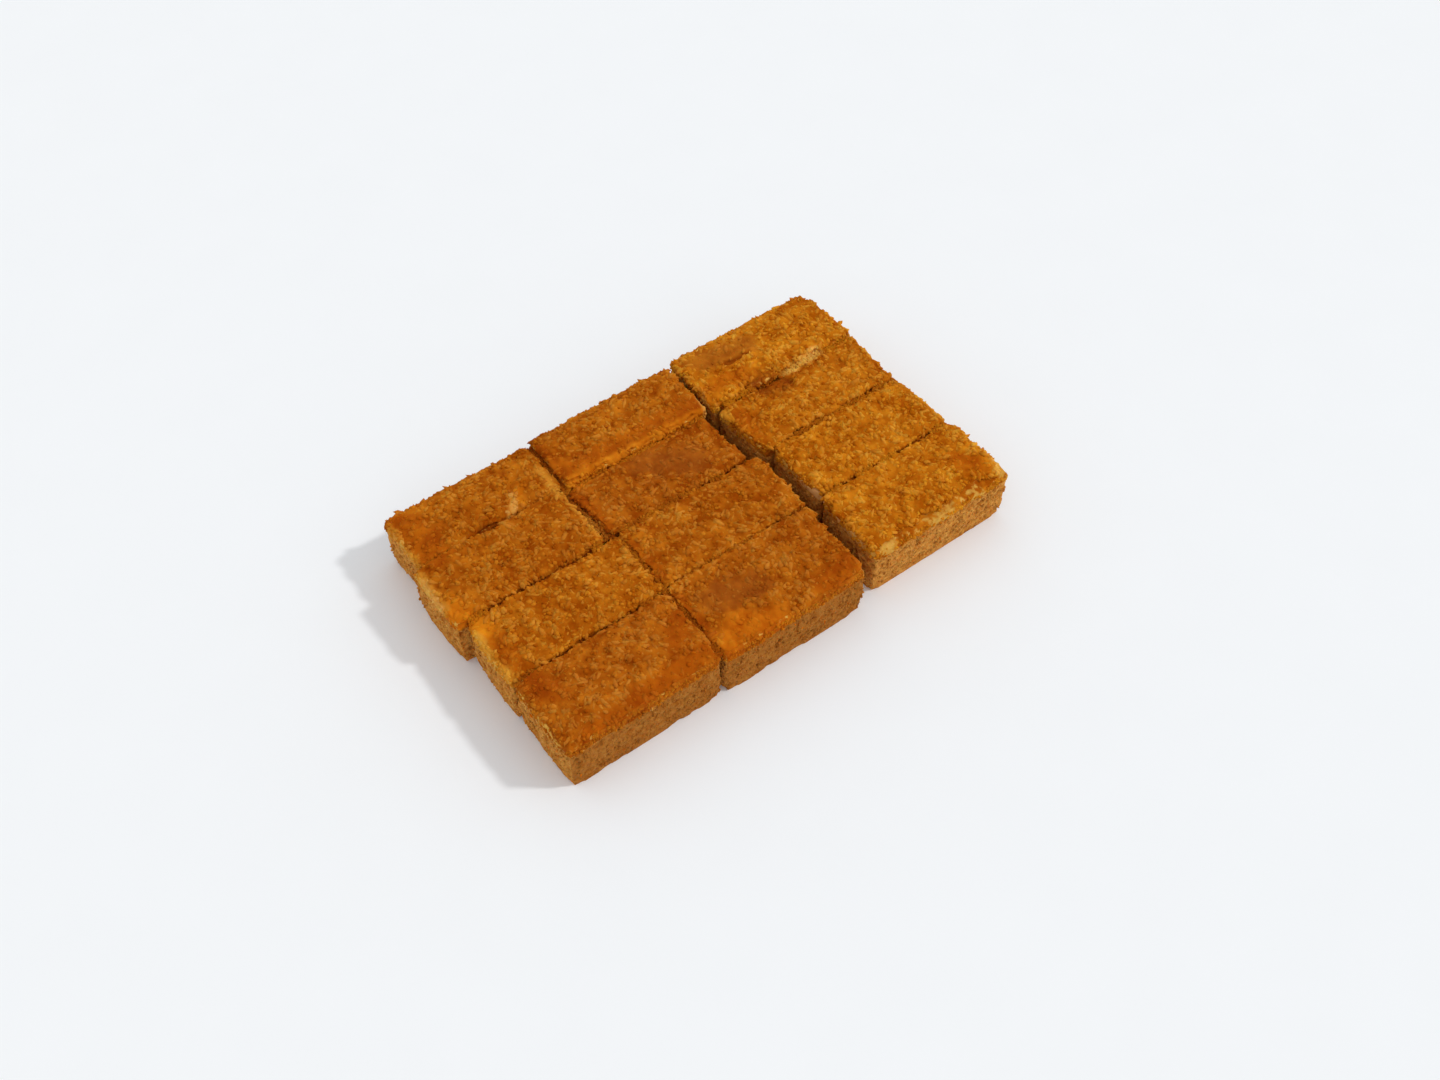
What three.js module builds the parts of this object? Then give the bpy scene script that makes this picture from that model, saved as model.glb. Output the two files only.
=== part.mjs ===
// A crumb-topped carrot cake, cut into three columns of four bars that still stand as one slab.
// Each bar is a carrot sponge, a spread of cream and a coat of coarse crumbs, cut through together.
// Millimetres, +Z up. X runs along the bars, Y from the front row to the back row.
import * as THREE from "three";
import { mergeVertices } from "three/addons/utils/BufferGeometryUtils.js";

const { lerp, smoothstep } = THREE.MathUtils;

// The nominal bar and its layers, with a hair of air where two layers touch.
const BAR_LENGTH = 60;
const BAR_WIDTH = 28;
const BAR_HEIGHT = 24;
const CRUMB_DEPTH = 2.3;
const CREAM_DEPTH = 3.6;
const LAYER_GAP = 0.3;

// How the knife left the bars: narrow cuts in a column, wider gaps between columns, wavering faces.
const KNIFE_CUT = 0.9;
const COLUMN_GAPS = [1.6, 6];
const CORNER_RADIUS = 1.6;
const CUT_WAVE = 0.25;
const CUT_WAVE_PITCH = 9;

// The sponge is drawn in at its foot and swells a little half way up. The cream bulges from the cut.
const FOOT_INSET = 0.45;
const SPONGE_SWELL = 0.25;
const CREAM_BULGE = 0.2;

// The crumb coat: clumps and grains on top, calmer towards the shoulders, and a crumbling edge.
// The slab's own baked edge is round and its crumbs stop short of it. A knife leaves a crisper edge.
const CLUMP_HEIGHT = 1.1;
const CLUMP_PITCH = 3.4;
const GRAIN_HEIGHT = 0.7;
const GRAIN_PITCH = 1.7;
const CUT_SHOULDER = { drop: 0.5, width: 2.5, setback: 0 };
const BAKED_SHOULDER = { drop: 1.3, width: 8, setback: 0.7 };
const SHOULDER_CALM = 0.6;
const EDGE_CRUMBLE = 0.5;
const EDGE_CRUMBLE_PITCH = 4;
const BARE_JAGS = 0.7;
const TORN_FRONT = 1;

// Cells of each layer's grid: the crumb coat carries the relief, so its grid is the finer one.
const CRUMB_CELLS = { along: 22, across: 10 };
const CUT_CELLS = { along: 12, across: 6 };

// Each column from its back bar to its front bar, as departures from the nominal bar:
// shift moves the left end, stretch and spread add length and width, rise adds height,
// slant and flare carry the front corner of the left and of the right end to the right,
// lean raises the front edge over the back, and bare is how far the crumbs fell back from the front.
const COLUMNS = [
  {
    name: "left",
    back: 0.1,
    bars: [
      { shift: 0.9, stretch: -2.2, spread: -2, rise: -0.6, slant: 0.4, flare: 0, lean: 0.2, bare: 0 },
      { shift: -2, stretch: -1.1, spread: 0.3, rise: 0.5, slant: 0.6, flare: 0, lean: -0.4, bare: 0.2 },
      { shift: 1.2, stretch: -0.1, spread: 0.5, rise: 0, slant: -0.5, flare: 0, lean: 0.2, bare: 0 },
      { shift: 1.7, stretch: -0.8, spread: 3.6, rise: 0.2, slant: 0.5, flare: 0, lean: -0.6, bare: 0.3 },
    ],
  },
  {
    name: "middle",
    back: 0.7,
    bars: [
      { shift: -1.1, stretch: 1.1, spread: -0.4, rise: 1, slant: -0.6, flare: 0, lean: 0.4, bare: 0.5 },
      { shift: -1.4, stretch: -1.4, spread: -1.8, rise: -0.7, slant: 0.8, flare: 0, lean: 0.8, bare: 0 },
      { shift: 1, stretch: 0, spread: 0.3, rise: -0.1, slant: 0, flare: 0, lean: 0.2, bare: 0 },
      { shift: 0.6, stretch: -1, spread: 5.3, rise: 0, slant: 0.3, flare: 0, lean: -0.8, bare: 0.5 },
    ],
  },
  {
    name: "right",
    back: 2.2,
    bars: [
      { shift: -3.5, stretch: 4.2, spread: 2, rise: 1.2, slant: -0.8, flare: 2.6, lean: 0.3, bare: 0.9 },
      { shift: -1.8, stretch: 2, spread: -1.7, rise: -0.2, slant: 2.4, flare: -0.6, lean: -0.2, bare: 0 },
      { shift: 1.5, stretch: -1.4, spread: -0.5, rise: 0.3, slant: 0.3, flare: 0.8, lean: 0, bare: 0 },
      { shift: 0.6, stretch: 0.9, spread: 2.4, rise: 0, slant: -1.4, flare: 1.2, lean: -0.4, bare: 3.4 },
    ],
  },
];

const MATERIALS = {
  sponge: new THREE.MeshStandardMaterial({ color: 0xa9601c, roughness: 0.9, metalness: 0 }),
  cream: new THREE.MeshStandardMaterial({ color: 0xdcae66, roughness: 0.6, metalness: 0 }),
  crumbs: new THREE.MeshStandardMaterial({ color: 0xaa5e14, roughness: 0.95, metalness: 0 }),
};

// Every bar draws its waves from its own run of seeds.
const FIRST_SEED = 7;
const SEEDS_PER_BAR = 10;

// A repeatable number from 0 to 1 for a lattice point, by mixing the bits of its place and seed.
function latticeValue(column, row, seed) {
  let bits = Math.imul(column, 374761393) ^ Math.imul(row, 668265263) ^ Math.imul(seed, 1274126177);
  bits = Math.imul(bits ^ (bits >>> 13), 1103515245);
  return ((bits ^ (bits >>> 16)) >>> 0) / 0xffffffff;
}

// Smooth random waves from -1 to 1 with the given distance between crests.
function waves(x, y, pitch, seed) {
  const column = Math.floor(x / pitch);
  const row = Math.floor(y / pitch);
  const across = smoothstep(x / pitch - column, 0, 1);
  const along = smoothstep(y / pitch - row, 0, 1);
  const low = lerp(latticeValue(column, row, seed), latticeValue(column + 1, row, seed), across);
  const high = lerp(latticeValue(column, row + 1, seed), latticeValue(column + 1, row + 1, seed), across);
  return lerp(low, high, along) * 2 - 1;
}

// Grid stations round the edge of a bar, anticlockwise from above, each from -1 to 1 both ways.
function edgeStations({ along, across }) {
  const corners = [[-1, -1], [1, -1], [1, 1], [-1, 1]];
  return corners.flatMap(([s, t], side) => {
    const [nextS, nextT] = corners[(side + 1) % corners.length];
    const cells = side % 2 ? across : along;
    return Array.from({ length: cells }, (_, k) => [lerp(s, nextS, k / cells), lerp(t, nextT, k / cells)]);
  });
}

// A station's place in the bar's own plan: round corners, slanted ends and a wavering knife cut.
// The inset draws the outline in all round, and a jagged bare strip draws it back from the front alone.
function planPoint(bar, [s, t], inset = 0, bare = 0) {
  const halfLength = bar.length / 2 - inset;
  const halfWidth = bar.width / 2 - inset;
  let x = s * halfLength;
  let y = t * halfWidth;
  const cornerX = Math.abs(x) - (halfLength - CORNER_RADIUS);
  const cornerY = Math.abs(y) - (halfWidth - CORNER_RADIUS);
  if (cornerX > 0 && cornerY > 0) {
    const rounding = Math.max(cornerX, cornerY) / Math.hypot(cornerX, cornerY);
    x = Math.sign(x) * (halfLength - CORNER_RADIUS + cornerX * rounding);
    y = Math.sign(y) * (halfWidth - CORNER_RADIUS + cornerY * rounding);
  }
  const leftShare = (1 - s) / 2;
  const frontShare = (1 - t) / 2;
  x += (leftShare * bar.slant + (1 - leftShare) * bar.flare) * (frontShare - 0.5);
  x += s * CUT_WAVE * waves(y, s * bar.length, CUT_WAVE_PITCH, bar.seed);
  y += t * CUT_WAVE * waves(x, t * bar.width, CUT_WAVE_PITCH, bar.seed + 1);
  y += frontShare * bare * (1 + BARE_JAGS * waves(x, 0, EDGE_CRUMBLE_PITCH, bar.seed + 2));
  return [x, y];
}

// The layers of a bar lie on planes that lean a little from back to front, over a level foot.
function leaningHeight(bar, level, y) {
  return level - (bar.lean * y) / bar.width;
}

// One ring of points round a layer's wall, at a level above the surface that the bar stands on.
function wallRing(bar, cells, level, inset, bare) {
  return edgeStations(cells).map((station) => {
    const [x, y] = planPoint(bar, station, inset, bare);
    return new THREE.Vector3(x, y, level > 0 ? leaningHeight(bar, level, y) : 0);
  });
}

// Triangles across a ring whose points start at the given index.
function flatCap(points, ring, first) {
  const outline = ring.map((point) => new THREE.Vector2(point.x, point.y));
  return THREE.ShapeUtils.triangulateShape(outline, []).map((face) => face.map((k) => k + first));
}

// A closed solid from rings of points, lowest first: walls between the rings and a cap at each end.
function closedLayer(rings, topCap = flatCap) {
  const points = rings.flat();
  const count = rings[0].length;
  const faces = [];
  for (let level = 0; level + 1 < rings.length; level++) {
    for (let k = 0; k < count; k++) {
      const a = level * count + k;
      const b = level * count + ((k + 1) % count);
      faces.push([a, b, b + count], [a, b + count, a + count]);
    }
  }
  for (const [a, b, c] of flatCap(points, rings[0], 0)) {
    faces.push([a, c, b]);
  }
  faces.push(...topCap(points, rings.at(-1), (rings.length - 1) * count));
  const positions = points.flatMap((point) => point.toArray());
  const geometry = new THREE.BufferGeometry();
  geometry.setAttribute("position", new THREE.Float32BufferAttribute(positions, 3));
  geometry.setIndex(faces.flat());
  return geometry;
}

// How near a station is to each side of its bar, from 0 beyond the shoulder to 1 at the edge,
// and what that takes off the crumb coat: its drop, its setback from the edge and its calmer relief.
function shoulderAt(bar, [s, t]) {
  const distances = {
    left: ((1 + s) * bar.length) / 2,
    right: ((1 - s) * bar.length) / 2,
    front: ((1 + t) * bar.width) / 2,
    back: ((1 - t) * bar.width) / 2,
  };
  const sum = { drop: 0, setback: 0, near: 0 };
  for (const [side, distance] of Object.entries(distances)) {
    const shoulder = bar.baked[side] ? BAKED_SHOULDER : CUT_SHOULDER;
    const near = 1 - smoothstep(distance, 0, shoulder.width);
    sum.drop = Math.max(sum.drop, near * shoulder.drop);
    sum.setback = Math.max(sum.setback, near * shoulder.setback);
    sum.near = Math.max(sum.near, near);
  }
  return sum;
}

// A station on the crumb coat's upper surface: clumps with grains on them, falling away at the shoulders.
function crumbPoint(bar, [s, t]) {
  const { drop, setback, near } = shoulderAt(bar, [s, t]);
  const crumbling = (1 + waves(s * bar.length, t * bar.width, EDGE_CRUMBLE_PITCH, bar.seed + 3)) / 2;
  const [x, y] = planPoint(bar, [s, t], setback + EDGE_CRUMBLE * crumbling, bar.bare);
  const clump = (CLUMP_HEIGHT / 2) * waves(x, y, CLUMP_PITCH, bar.seed + 4);
  const grain = (GRAIN_HEIGHT / 2) * waves(x, y, GRAIN_PITCH, bar.seed + 5);
  const relief = (1 - SHOULDER_CALM * near) * (clump + grain);
  return new THREE.Vector3(x, y, leaningHeight(bar, bar.height, y) - drop + relief);
}

// Fills the crumb coat's top with its grid: the ring's own points at the edge and new points inside.
function crumbCap(bar) {
  const { along, across } = CRUMB_CELLS;
  return (points, ring, first) => {
    const indexAt = (i, j) => {
      if (j === 0) return first + i;
      if (i === along) return first + along + j;
      if (j === across) return first + 2 * along + across - i;
      if (i === 0) return first + 2 * along + 2 * across - j;
      return first + ring.length + (j - 1) * (along - 1) + (i - 1);
    };
    for (let j = 1; j < across; j++) {
      for (let i = 1; i < along; i++) {
        points.push(crumbPoint(bar, [-1 + (2 * i) / along, -1 + (2 * j) / across]));
      }
    }
    const faces = [];
    for (let j = 0; j < across; j++) {
      for (let i = 0; i < along; i++) {
        const [a, b] = [indexAt(i, j), indexAt(i + 1, j)];
        const [d, c] = [indexAt(i, j + 1), indexAt(i + 1, j + 1)];
        faces.push(...((i + j) % 2 ? [[a, b, d], [b, c, d]] : [[a, b, c], [a, c, d]]));
      }
    }
    return faces;
  };
}

function spongeGeometry(bar) {
  const top = bar.height - CRUMB_DEPTH - CREAM_DEPTH;
  return closedLayer([
    wallRing(bar, CUT_CELLS, 0, FOOT_INSET),
    wallRing(bar, CUT_CELLS, top / 2, -SPONGE_SWELL),
    wallRing(bar, CUT_CELLS, top, 0),
  ]);
}

function creamGeometry(bar) {
  const top = bar.height - CRUMB_DEPTH;
  return closedLayer([
    wallRing(bar, CUT_CELLS, top - CREAM_DEPTH + LAYER_GAP, 0),
    wallRing(bar, CUT_CELLS, top - CREAM_DEPTH / 2, -CREAM_BULGE),
    wallRing(bar, CUT_CELLS, top, 0),
  ]);
}

function crumbGeometry(bar) {
  const foot = bar.height - CRUMB_DEPTH + LAYER_GAP;
  const edge = edgeStations(CRUMB_CELLS).map((station) => crumbPoint(bar, station));
  return closedLayer([wallRing(bar, CRUMB_CELLS, foot, 0, bar.bare), edge], crumbCap(bar));
}

function layerMesh(layer, geometry, bar) {
  const closed = mergeVertices(geometry);
  closed.computeVertexNormals();
  const mesh = new THREE.Mesh(closed, MATERIALS[layer]);
  mesh.name = `${layer}_${bar.name}`;
  return mesh;
}

// A bar with its three layers, placed in the slab.
function barGroup(bar) {
  const group = new THREE.Group();
  group.add(layerMesh("sponge", spongeGeometry(bar), bar));
  group.add(layerMesh("cream", creamGeometry(bar), bar));
  group.add(layerMesh("crumbs", crumbGeometry(bar), bar));
  group.position.set(bar.x, bar.y, 0);
  return group;
}

const slab = new THREE.Group();
let columnLeft = 0;
COLUMNS.forEach((column, columnIndex) => {
  let back = column.back;
  column.bars.forEach((own, rowIndex) => {
    const length = BAR_LENGTH + own.stretch;
    const width = BAR_WIDTH + own.spread;
    const bar = {
      ...own,
      name: `${column.name}_${rowIndex + 1}`,
      length,
      width,
      height: BAR_HEIGHT + own.rise,
      x: columnLeft + own.shift + length / 2,
      y: back - width / 2,
      baked: {
        left: columnIndex === 0,
        back: rowIndex === 0,
        front: rowIndex === column.bars.length - 1 && own.bare < TORN_FRONT,
      },
      seed: FIRST_SEED + SEEDS_PER_BAR * (columnIndex * column.bars.length + rowIndex),
    };
    slab.add(barGroup(bar));
    back -= width + KNIFE_CUT;
  });
  columnLeft += BAR_LENGTH + (COLUMN_GAPS[columnIndex] ?? 0);
});

// The origin is under the middle of the slab, on the surface that it stands on.
const cake = new THREE.Group();
cake.name = "carrot_cake";
cake.add(slab);
cake.updateMatrixWorld(true);
const middle = new THREE.Box3().setFromObject(slab, true).getCenter(new THREE.Vector3());
slab.position.set(-middle.x, -middle.y, 0);

export default cake;
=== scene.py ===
# %% [markdown]
# # A carrot cake, cut into bars
#
# The cake is a low slab of carrot sponge with a spread of cream and a coat of coarse toasted crumbs, cut
# with a knife into three columns of four bars. The solids in the frame already hold each bar's outline
# and its three layers. This lesson gives each layer the surface that the real stuff has: crumbs that
# stand up and fall off, cream that is soft and smeared, and sponge that is open and torn.

# %% Load the frame
import math

import bmesh
import bpy
import numpy as np
from mathutils import Matrix, Vector


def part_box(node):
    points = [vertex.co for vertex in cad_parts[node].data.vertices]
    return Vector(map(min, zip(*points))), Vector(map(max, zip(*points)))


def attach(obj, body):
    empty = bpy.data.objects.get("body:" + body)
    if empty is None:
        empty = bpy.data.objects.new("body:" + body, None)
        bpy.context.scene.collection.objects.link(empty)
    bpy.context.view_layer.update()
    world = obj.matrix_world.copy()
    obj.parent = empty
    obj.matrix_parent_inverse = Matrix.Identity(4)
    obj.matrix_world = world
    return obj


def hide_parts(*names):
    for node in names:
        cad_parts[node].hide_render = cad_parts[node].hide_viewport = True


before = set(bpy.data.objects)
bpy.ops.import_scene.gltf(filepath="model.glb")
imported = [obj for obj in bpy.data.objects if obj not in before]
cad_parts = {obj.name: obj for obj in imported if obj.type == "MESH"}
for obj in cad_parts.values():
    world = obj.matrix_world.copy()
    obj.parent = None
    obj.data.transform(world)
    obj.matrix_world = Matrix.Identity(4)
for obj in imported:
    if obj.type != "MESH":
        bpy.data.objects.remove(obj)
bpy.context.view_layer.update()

MM = 0.001
COLUMNS = ("left", "middle", "right")
ROWS = (1, 2, 3, 4)
BARS = [f"{column}_{row}" for column in COLUMNS for row in ROWS]

# %% [markdown]
# ## Two helpers
#
# Colours are easiest to pick as the sRGB hex values that a screen shows, but Blender's sockets take
# linear light, so one function turns the first into the second. A second function adds a node with its
# settings and links. It serves material trees and geometry trees alike, so a tree reads from top to
# bottom like a recipe.

# %% Colour and node helpers


def linear(hex_colour):
    """An sRGB hex colour as linear red, green, blue and alpha."""
    shares = [int(hex_colour[start:start + 2], 16) / 255 for start in (1, 3, 5)]
    return tuple(s / 12.92 if s <= 0.04045 else ((s + 0.055) / 1.055) ** 2.4 for s in shares) + (1.0,)


def add_node(tree, kind, inputs=None, **settings):
    """A new node. An input given as a node or a socket is linked to it, and any other is set."""
    node = tree.nodes.new(kind)
    for name, value in settings.items():
        setattr(node, name, value)
    for key, value in (inputs or {}).items():
        source = value.outputs[0] if isinstance(value, bpy.types.Node) else value
        if isinstance(source, bpy.types.NodeSocket):
            tree.links.new(source, node.inputs[key])
        else:
            node.inputs[key].default_value = source
    return node


print("mid grey in linear light:", [round(c, 3) for c in linear("#808080")])

# %% [markdown]
# ## Camera
#
# A cake like this is looked at from above and from one corner, about as someone does who is about to
# take a bar. The camera is set by the point it looks at, how far it stands off and three turns. Writing
# its matrix from those turns keeps the horizon where it was, with no tracking constraint to evaluate.

# %% Place the camera
LOOK_AT = Vector((-5.21, -21.06, 24.0)) * MM
CAMERA_REACH = 497.95 * MM
CAMERA_TURN = math.radians(-36.23)
CAMERA_DOWN = math.radians(51.69)
CAMERA_ROLL = math.radians(-0.48)
LENS_MM = 36.52
SENSOR_MM = 36.0
CAMERA_NEAR = 10 * MM

ahead = Vector((
    -math.sin(CAMERA_TURN) * math.cos(CAMERA_DOWN),
    math.cos(CAMERA_TURN) * math.cos(CAMERA_DOWN),
    -math.sin(CAMERA_DOWN),
))
level = ahead.cross(Vector((0, 0, 1))).normalized()
upward = level.cross(ahead)
across = math.cos(CAMERA_ROLL) * level + math.sin(CAMERA_ROLL) * upward
above = math.cos(CAMERA_ROLL) * upward - math.sin(CAMERA_ROLL) * level
camera = bpy.data.objects.new("camera", bpy.data.cameras.new("camera"))
camera.data.lens = LENS_MM
camera.data.sensor_width = SENSOR_MM
camera.data.clip_start = CAMERA_NEAR
camera.matrix_world = Matrix.Translation(LOOK_AT - CAMERA_REACH * ahead) @ Matrix(
    (across, above, -ahead)
).transposed().to_4x4()
bpy.context.collection.objects.link(camera)
bpy.context.scene.camera = camera
print("camera stands at mm:", [round(x / MM) for x in camera.matrix_world.translation])

# %% [markdown]
# ## Light
#
# The light is that of a bright white studio: most of it comes from all round, and one soft lamp to the
# right, halfway up, throws a short shadow to the left. An even world colour gives the first. For the
# second a sun lamp with a wide disc is handy, because it lights the floor alike from edge to edge. The
# plain view transform shows colours as they were picked, which suits matching food, where a filmic
# curve would pull the oranges towards grey.

# %% Set up the light
LAMP_TURN = Vector((0.807, -0.588, 0.0))
LAMP_RISE = math.radians(45)
LAMP_DISC = math.radians(5)
LAMP_STRENGTH = 1.05
WORLD_COLOUR = "#FAFBFD"
WORLD_STRENGTH = 0.8

scene = bpy.context.scene
scene.view_settings.view_transform = "Standard"
scene.world = bpy.data.worlds.new("studio")
scene.world.use_nodes = True
background = scene.world.node_tree.nodes["Background"]
background.inputs["Color"].default_value = linear(WORLD_COLOUR)
background.inputs["Strength"].default_value = WORLD_STRENGTH

lamp = bpy.data.objects.new("lamp", bpy.data.lights.new("lamp", "SUN"))
lamp.data.energy = LAMP_STRENGTH
lamp.data.angle = LAMP_DISC
toward_lamp = LAMP_TURN.normalized() * math.cos(LAMP_RISE) + Vector((0, 0, math.sin(LAMP_RISE)))
lamp.location = toward_lamp
lamp.rotation_euler = toward_lamp.to_track_quat("Z", "Y").to_euler()
bpy.context.collection.objects.link(lamp)
print("light comes from:", [round(x, 2) for x in toward_lamp])

# %% [markdown]
# ## Floor
#
# The cake stands on white paper. It is matt and very slightly cloudy, so that it is not one dead tone, and
# a single large face is enough for it. Every material in this lesson starts from Object coordinates, which
# stay with the piece, and ends with one shader, so two functions do that.

# %% Functions for materials


def new_material(name):
    """A new material, its tree, and the Object coordinates in that tree."""
    material = bpy.data.materials.new(name)
    material.use_nodes = True
    tree = material.node_tree
    tree.nodes.clear()
    return material, tree, add_node(tree, "ShaderNodeTexCoord").outputs["Object"]


def end_material(tree, settings):
    """Closes a material's tree: one shader with its settings, on the surface."""
    shader = add_node(tree, "ShaderNodeBsdfPrincipled", settings)
    add_node(tree, "ShaderNodeOutputMaterial", {"Surface": shader})


print("materials before this lesson's own:", len(bpy.data.materials))

# %% Lay the floor
FLOOR_SIZE = 8.0
PAPER_CLOUD_SIZE = 30 * MM
PAPER_DARK, PAPER_LIGHT = "#F2F4F5", "#F4F6F7"
PAPER_ROUGHNESS = 0.9

paper, tree, coordinates = new_material("white_paper")
clouds = add_node(tree, "ShaderNodeTexNoise", {"Vector": coordinates, "Scale": 1 / PAPER_CLOUD_SIZE})
shade = add_node(
    tree, "ShaderNodeMix", {"Factor": clouds, 6: linear(PAPER_DARK), 7: linear(PAPER_LIGHT)},
    data_type="RGBA",
)
end_material(tree, {"Base Color": shade.outputs[2], "Roughness": PAPER_ROUGHNESS})

floor_mesh = bpy.data.meshes.new("floor")
half = FLOOR_SIZE / 2
floor_corners = [(-half, -half, 0), (half, -half, 0), (half, half, 0), (-half, half, 0)]
floor_mesh.from_pydata(floor_corners, [], [(0, 1, 2, 3)])
floor_mesh.materials.append(paper)
floor = bpy.data.objects.new("floor", floor_mesh)
bpy.context.collection.objects.link(floor)
print("floor, metres wide:", FLOOR_SIZE)

# %% [markdown]
# ## From a plain solid to a fine skin
#
# Relief needs many small even faces to press into. Each solid is copied, its loose triangles are merged
# into one closed surface, and the Remesh modifier rebuilds it from even cells. Sculpting would do the
# rest by hand; here every later step is a Geometry Nodes tree, so that the surface follows a rule and
# can be made again exactly.

# %% Functions for skins
MERGE_DISTANCE = 0.001 * MM


def new_collection(name):
    """A collection in the scene, so that a tree can read a whole layer at once."""
    collection = bpy.data.collections.new(name)
    bpy.context.scene.collection.children.link(collection)
    return collection


def keep_result(piece):
    """Turns what a piece's modifiers make into its plain mesh, and removes them."""
    graph = bpy.context.evaluated_depsgraph_get()
    made = bpy.data.meshes.new_from_object(
        piece.evaluated_get(graph), preserve_all_data_layers=True, depsgraph=graph
    )
    before = piece.data
    piece.modifiers.clear()
    piece.data = made
    bpy.data.meshes.remove(before)
    made.name = piece.name


def fine_skin(node, name, cell, collection):
    """A closed copy of a solid, rebuilt from even cells of one size."""
    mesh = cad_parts[node].data.copy()
    shell = bmesh.new()
    shell.from_mesh(mesh)
    bmesh.ops.remove_doubles(shell, verts=shell.verts, dist=MERGE_DISTANCE)
    shell.to_mesh(mesh)
    shell.free()
    mesh.materials.clear()
    piece = bpy.data.objects.new(name, mesh)
    collection.objects.link(piece)
    cells = piece.modifiers.new("even_cells", "REMESH")
    cells.mode = "VOXEL"
    cells.voxel_size = cell
    keep_result(piece)
    return piece


print("corners merge that are closer than mm:", round(MERGE_DISTANCE / MM, 4))

# %% Functions for values on a mesh


def point_values(mesh, field):
    """A vector of every vertex, such as its place or its normal, as an array."""
    values = np.empty(len(mesh.vertices) * 3, np.float32)
    mesh.vertices.foreach_get(field, values)
    return values.reshape(-1, 3)


def store_points(mesh, name, values):
    """Keeps one number for each vertex as a named attribute."""
    attribute = mesh.attributes.new(name, "FLOAT", "POINT")
    attribute.data.foreach_set("value", np.broadcast_to(values, len(mesh.vertices)).astype(np.float32))


print("bars to dress:", len(BARS))

# %% [markdown]
# ## Trees
#
# A tree for a modifier always starts with named inputs and ends with a real mesh, smooth shading and a
# material, so two functions do that. A third runs a tree on a piece. What the tree makes is kept as plain
# mesh, and the modifier goes.

# %% Functions for trees


def new_tree(name, numbers, others=None):
    """A geometry tree with a mesh in and out and named inputs, and the sockets that those inputs give."""
    tree = bpy.data.node_groups.new(name, "GeometryNodeTree")
    tree.interface.new_socket("Mesh", in_out="OUTPUT", socket_type="NodeSocketGeometry")
    kinds = {"Mesh": "Geometry", **dict.fromkeys(numbers, "Float"), **(others or {}), "Material": "Material"}
    for label, kind in kinds.items():
        tree.interface.new_socket(label, in_out="INPUT", socket_type="NodeSocket" + kind)
    return tree, tree.nodes.new("NodeGroupInput").outputs


def end_tree(tree, mesh, material):
    """Closes a tree: real mesh, smooth shading and material."""
    real = add_node(tree, "GeometryNodeRealizeInstances", {"Geometry": mesh})
    smooth = add_node(tree, "GeometryNodeSetShadeSmooth", {"Geometry": real})
    coated = add_node(tree, "GeometryNodeSetMaterial", {"Geometry": smooth, "Material": material})
    add_node(tree, "NodeGroupOutput", {0: coated})


def run_tree(piece, tree, values):
    """Runs a geometry tree on a piece with the given inputs, and keeps the mesh that it makes."""
    modifier = piece.modifiers.new(tree.name, "NODES")
    modifier.node_group = tree
    for socket in tree.interface.items_tree:
        if socket.in_out == "INPUT" and socket.name in values:
            modifier[socket.identifier] = values[socket.name]
    keep_result(piece)


print("trees before this lesson's own:", len(bpy.data.node_groups))

# %% [markdown]
# ## What the three layers share
#
# A layer's relief starts from where a vertex lies and which way it faces, and moves it in the end. Where
# two layers meet, their border wanders up and down by the same slow noise, because no one spreads cream
# dead level. Separate solids keep a small gap, so each layer also swells a little towards the next one, or
# a slit would show.

# %% Functions for relief
# How far and over what distance the borders wander, and how far a layer swells towards the next one.
LAYER_SIZES = {"Wave size": 6.0 * MM, "Wave height": 2.4 * MM, "Closing": 0.4 * MM}
# Noise and colours run from 0 to 1, about this middle.
MIDDLE = 0.5
# What a vector is multiplied by to lose its height.
ON_SLAB = (1.0, 1.0, 0.0)


def surface(tree):
    """Where each vertex lies, its normal, and how far that faces up, from -1 to 1."""
    place = add_node(tree, "GeometryNodeInputPosition")
    normal = add_node(tree, "GeometryNodeInputNormal")
    return place, normal, add_node(tree, "ShaderNodeSeparateXYZ", {0: normal}).outputs["Z"]


def noise_about_zero(tree, place, size, detail):
    """A noise of a given size, from below to above zero."""
    scale = add_node(tree, "ShaderNodeMath", {0: 1.0, 1: size}, operation="DIVIDE")
    noise = add_node(tree, "ShaderNodeTexNoise", {"Vector": place, "Scale": scale, "Detail": detail})
    return add_node(tree, "ShaderNodeMath", {0: noise, 1: MIDDLE}, operation="SUBTRACT")


def layer_wave(tree, place, given):
    """How far the border between two layers wanders up or down, as a vector. Layers that meet share it."""
    on_slab = add_node(tree, "ShaderNodeVectorMath", {0: place, 1: ON_SLAB}, operation="MULTIPLY")
    wave = noise_about_zero(tree, on_slab, given["Wave size"], detail=2.0)
    border = add_node(tree, "GeometryNodeInputNamedAttribute", {"Name": "border"}, data_type="FLOAT")
    for share in (given["Wave height"], border):
        wave = add_node(tree, "ShaderNodeMath", {0: wave, 1: share}, operation="MULTIPLY")
    return add_node(tree, "ShaderNodeCombineXYZ", {"Z": wave})


def layer_swell(tree, facing, given):
    """How far a layer swells up or down past the gap, by how far it faces that way, as a vector."""
    swell = add_node(tree, "ShaderNodeMath", {0: facing, 1: given["Closing"]}, operation="MULTIPLY")
    return add_node(tree, "ShaderNodeCombineXYZ", {"Z": swell})


print("shared sizes in mm:", {label: round(size / MM, 1) for label, size in LAYER_SIZES.items()})

# %% Close a relief tree


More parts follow.
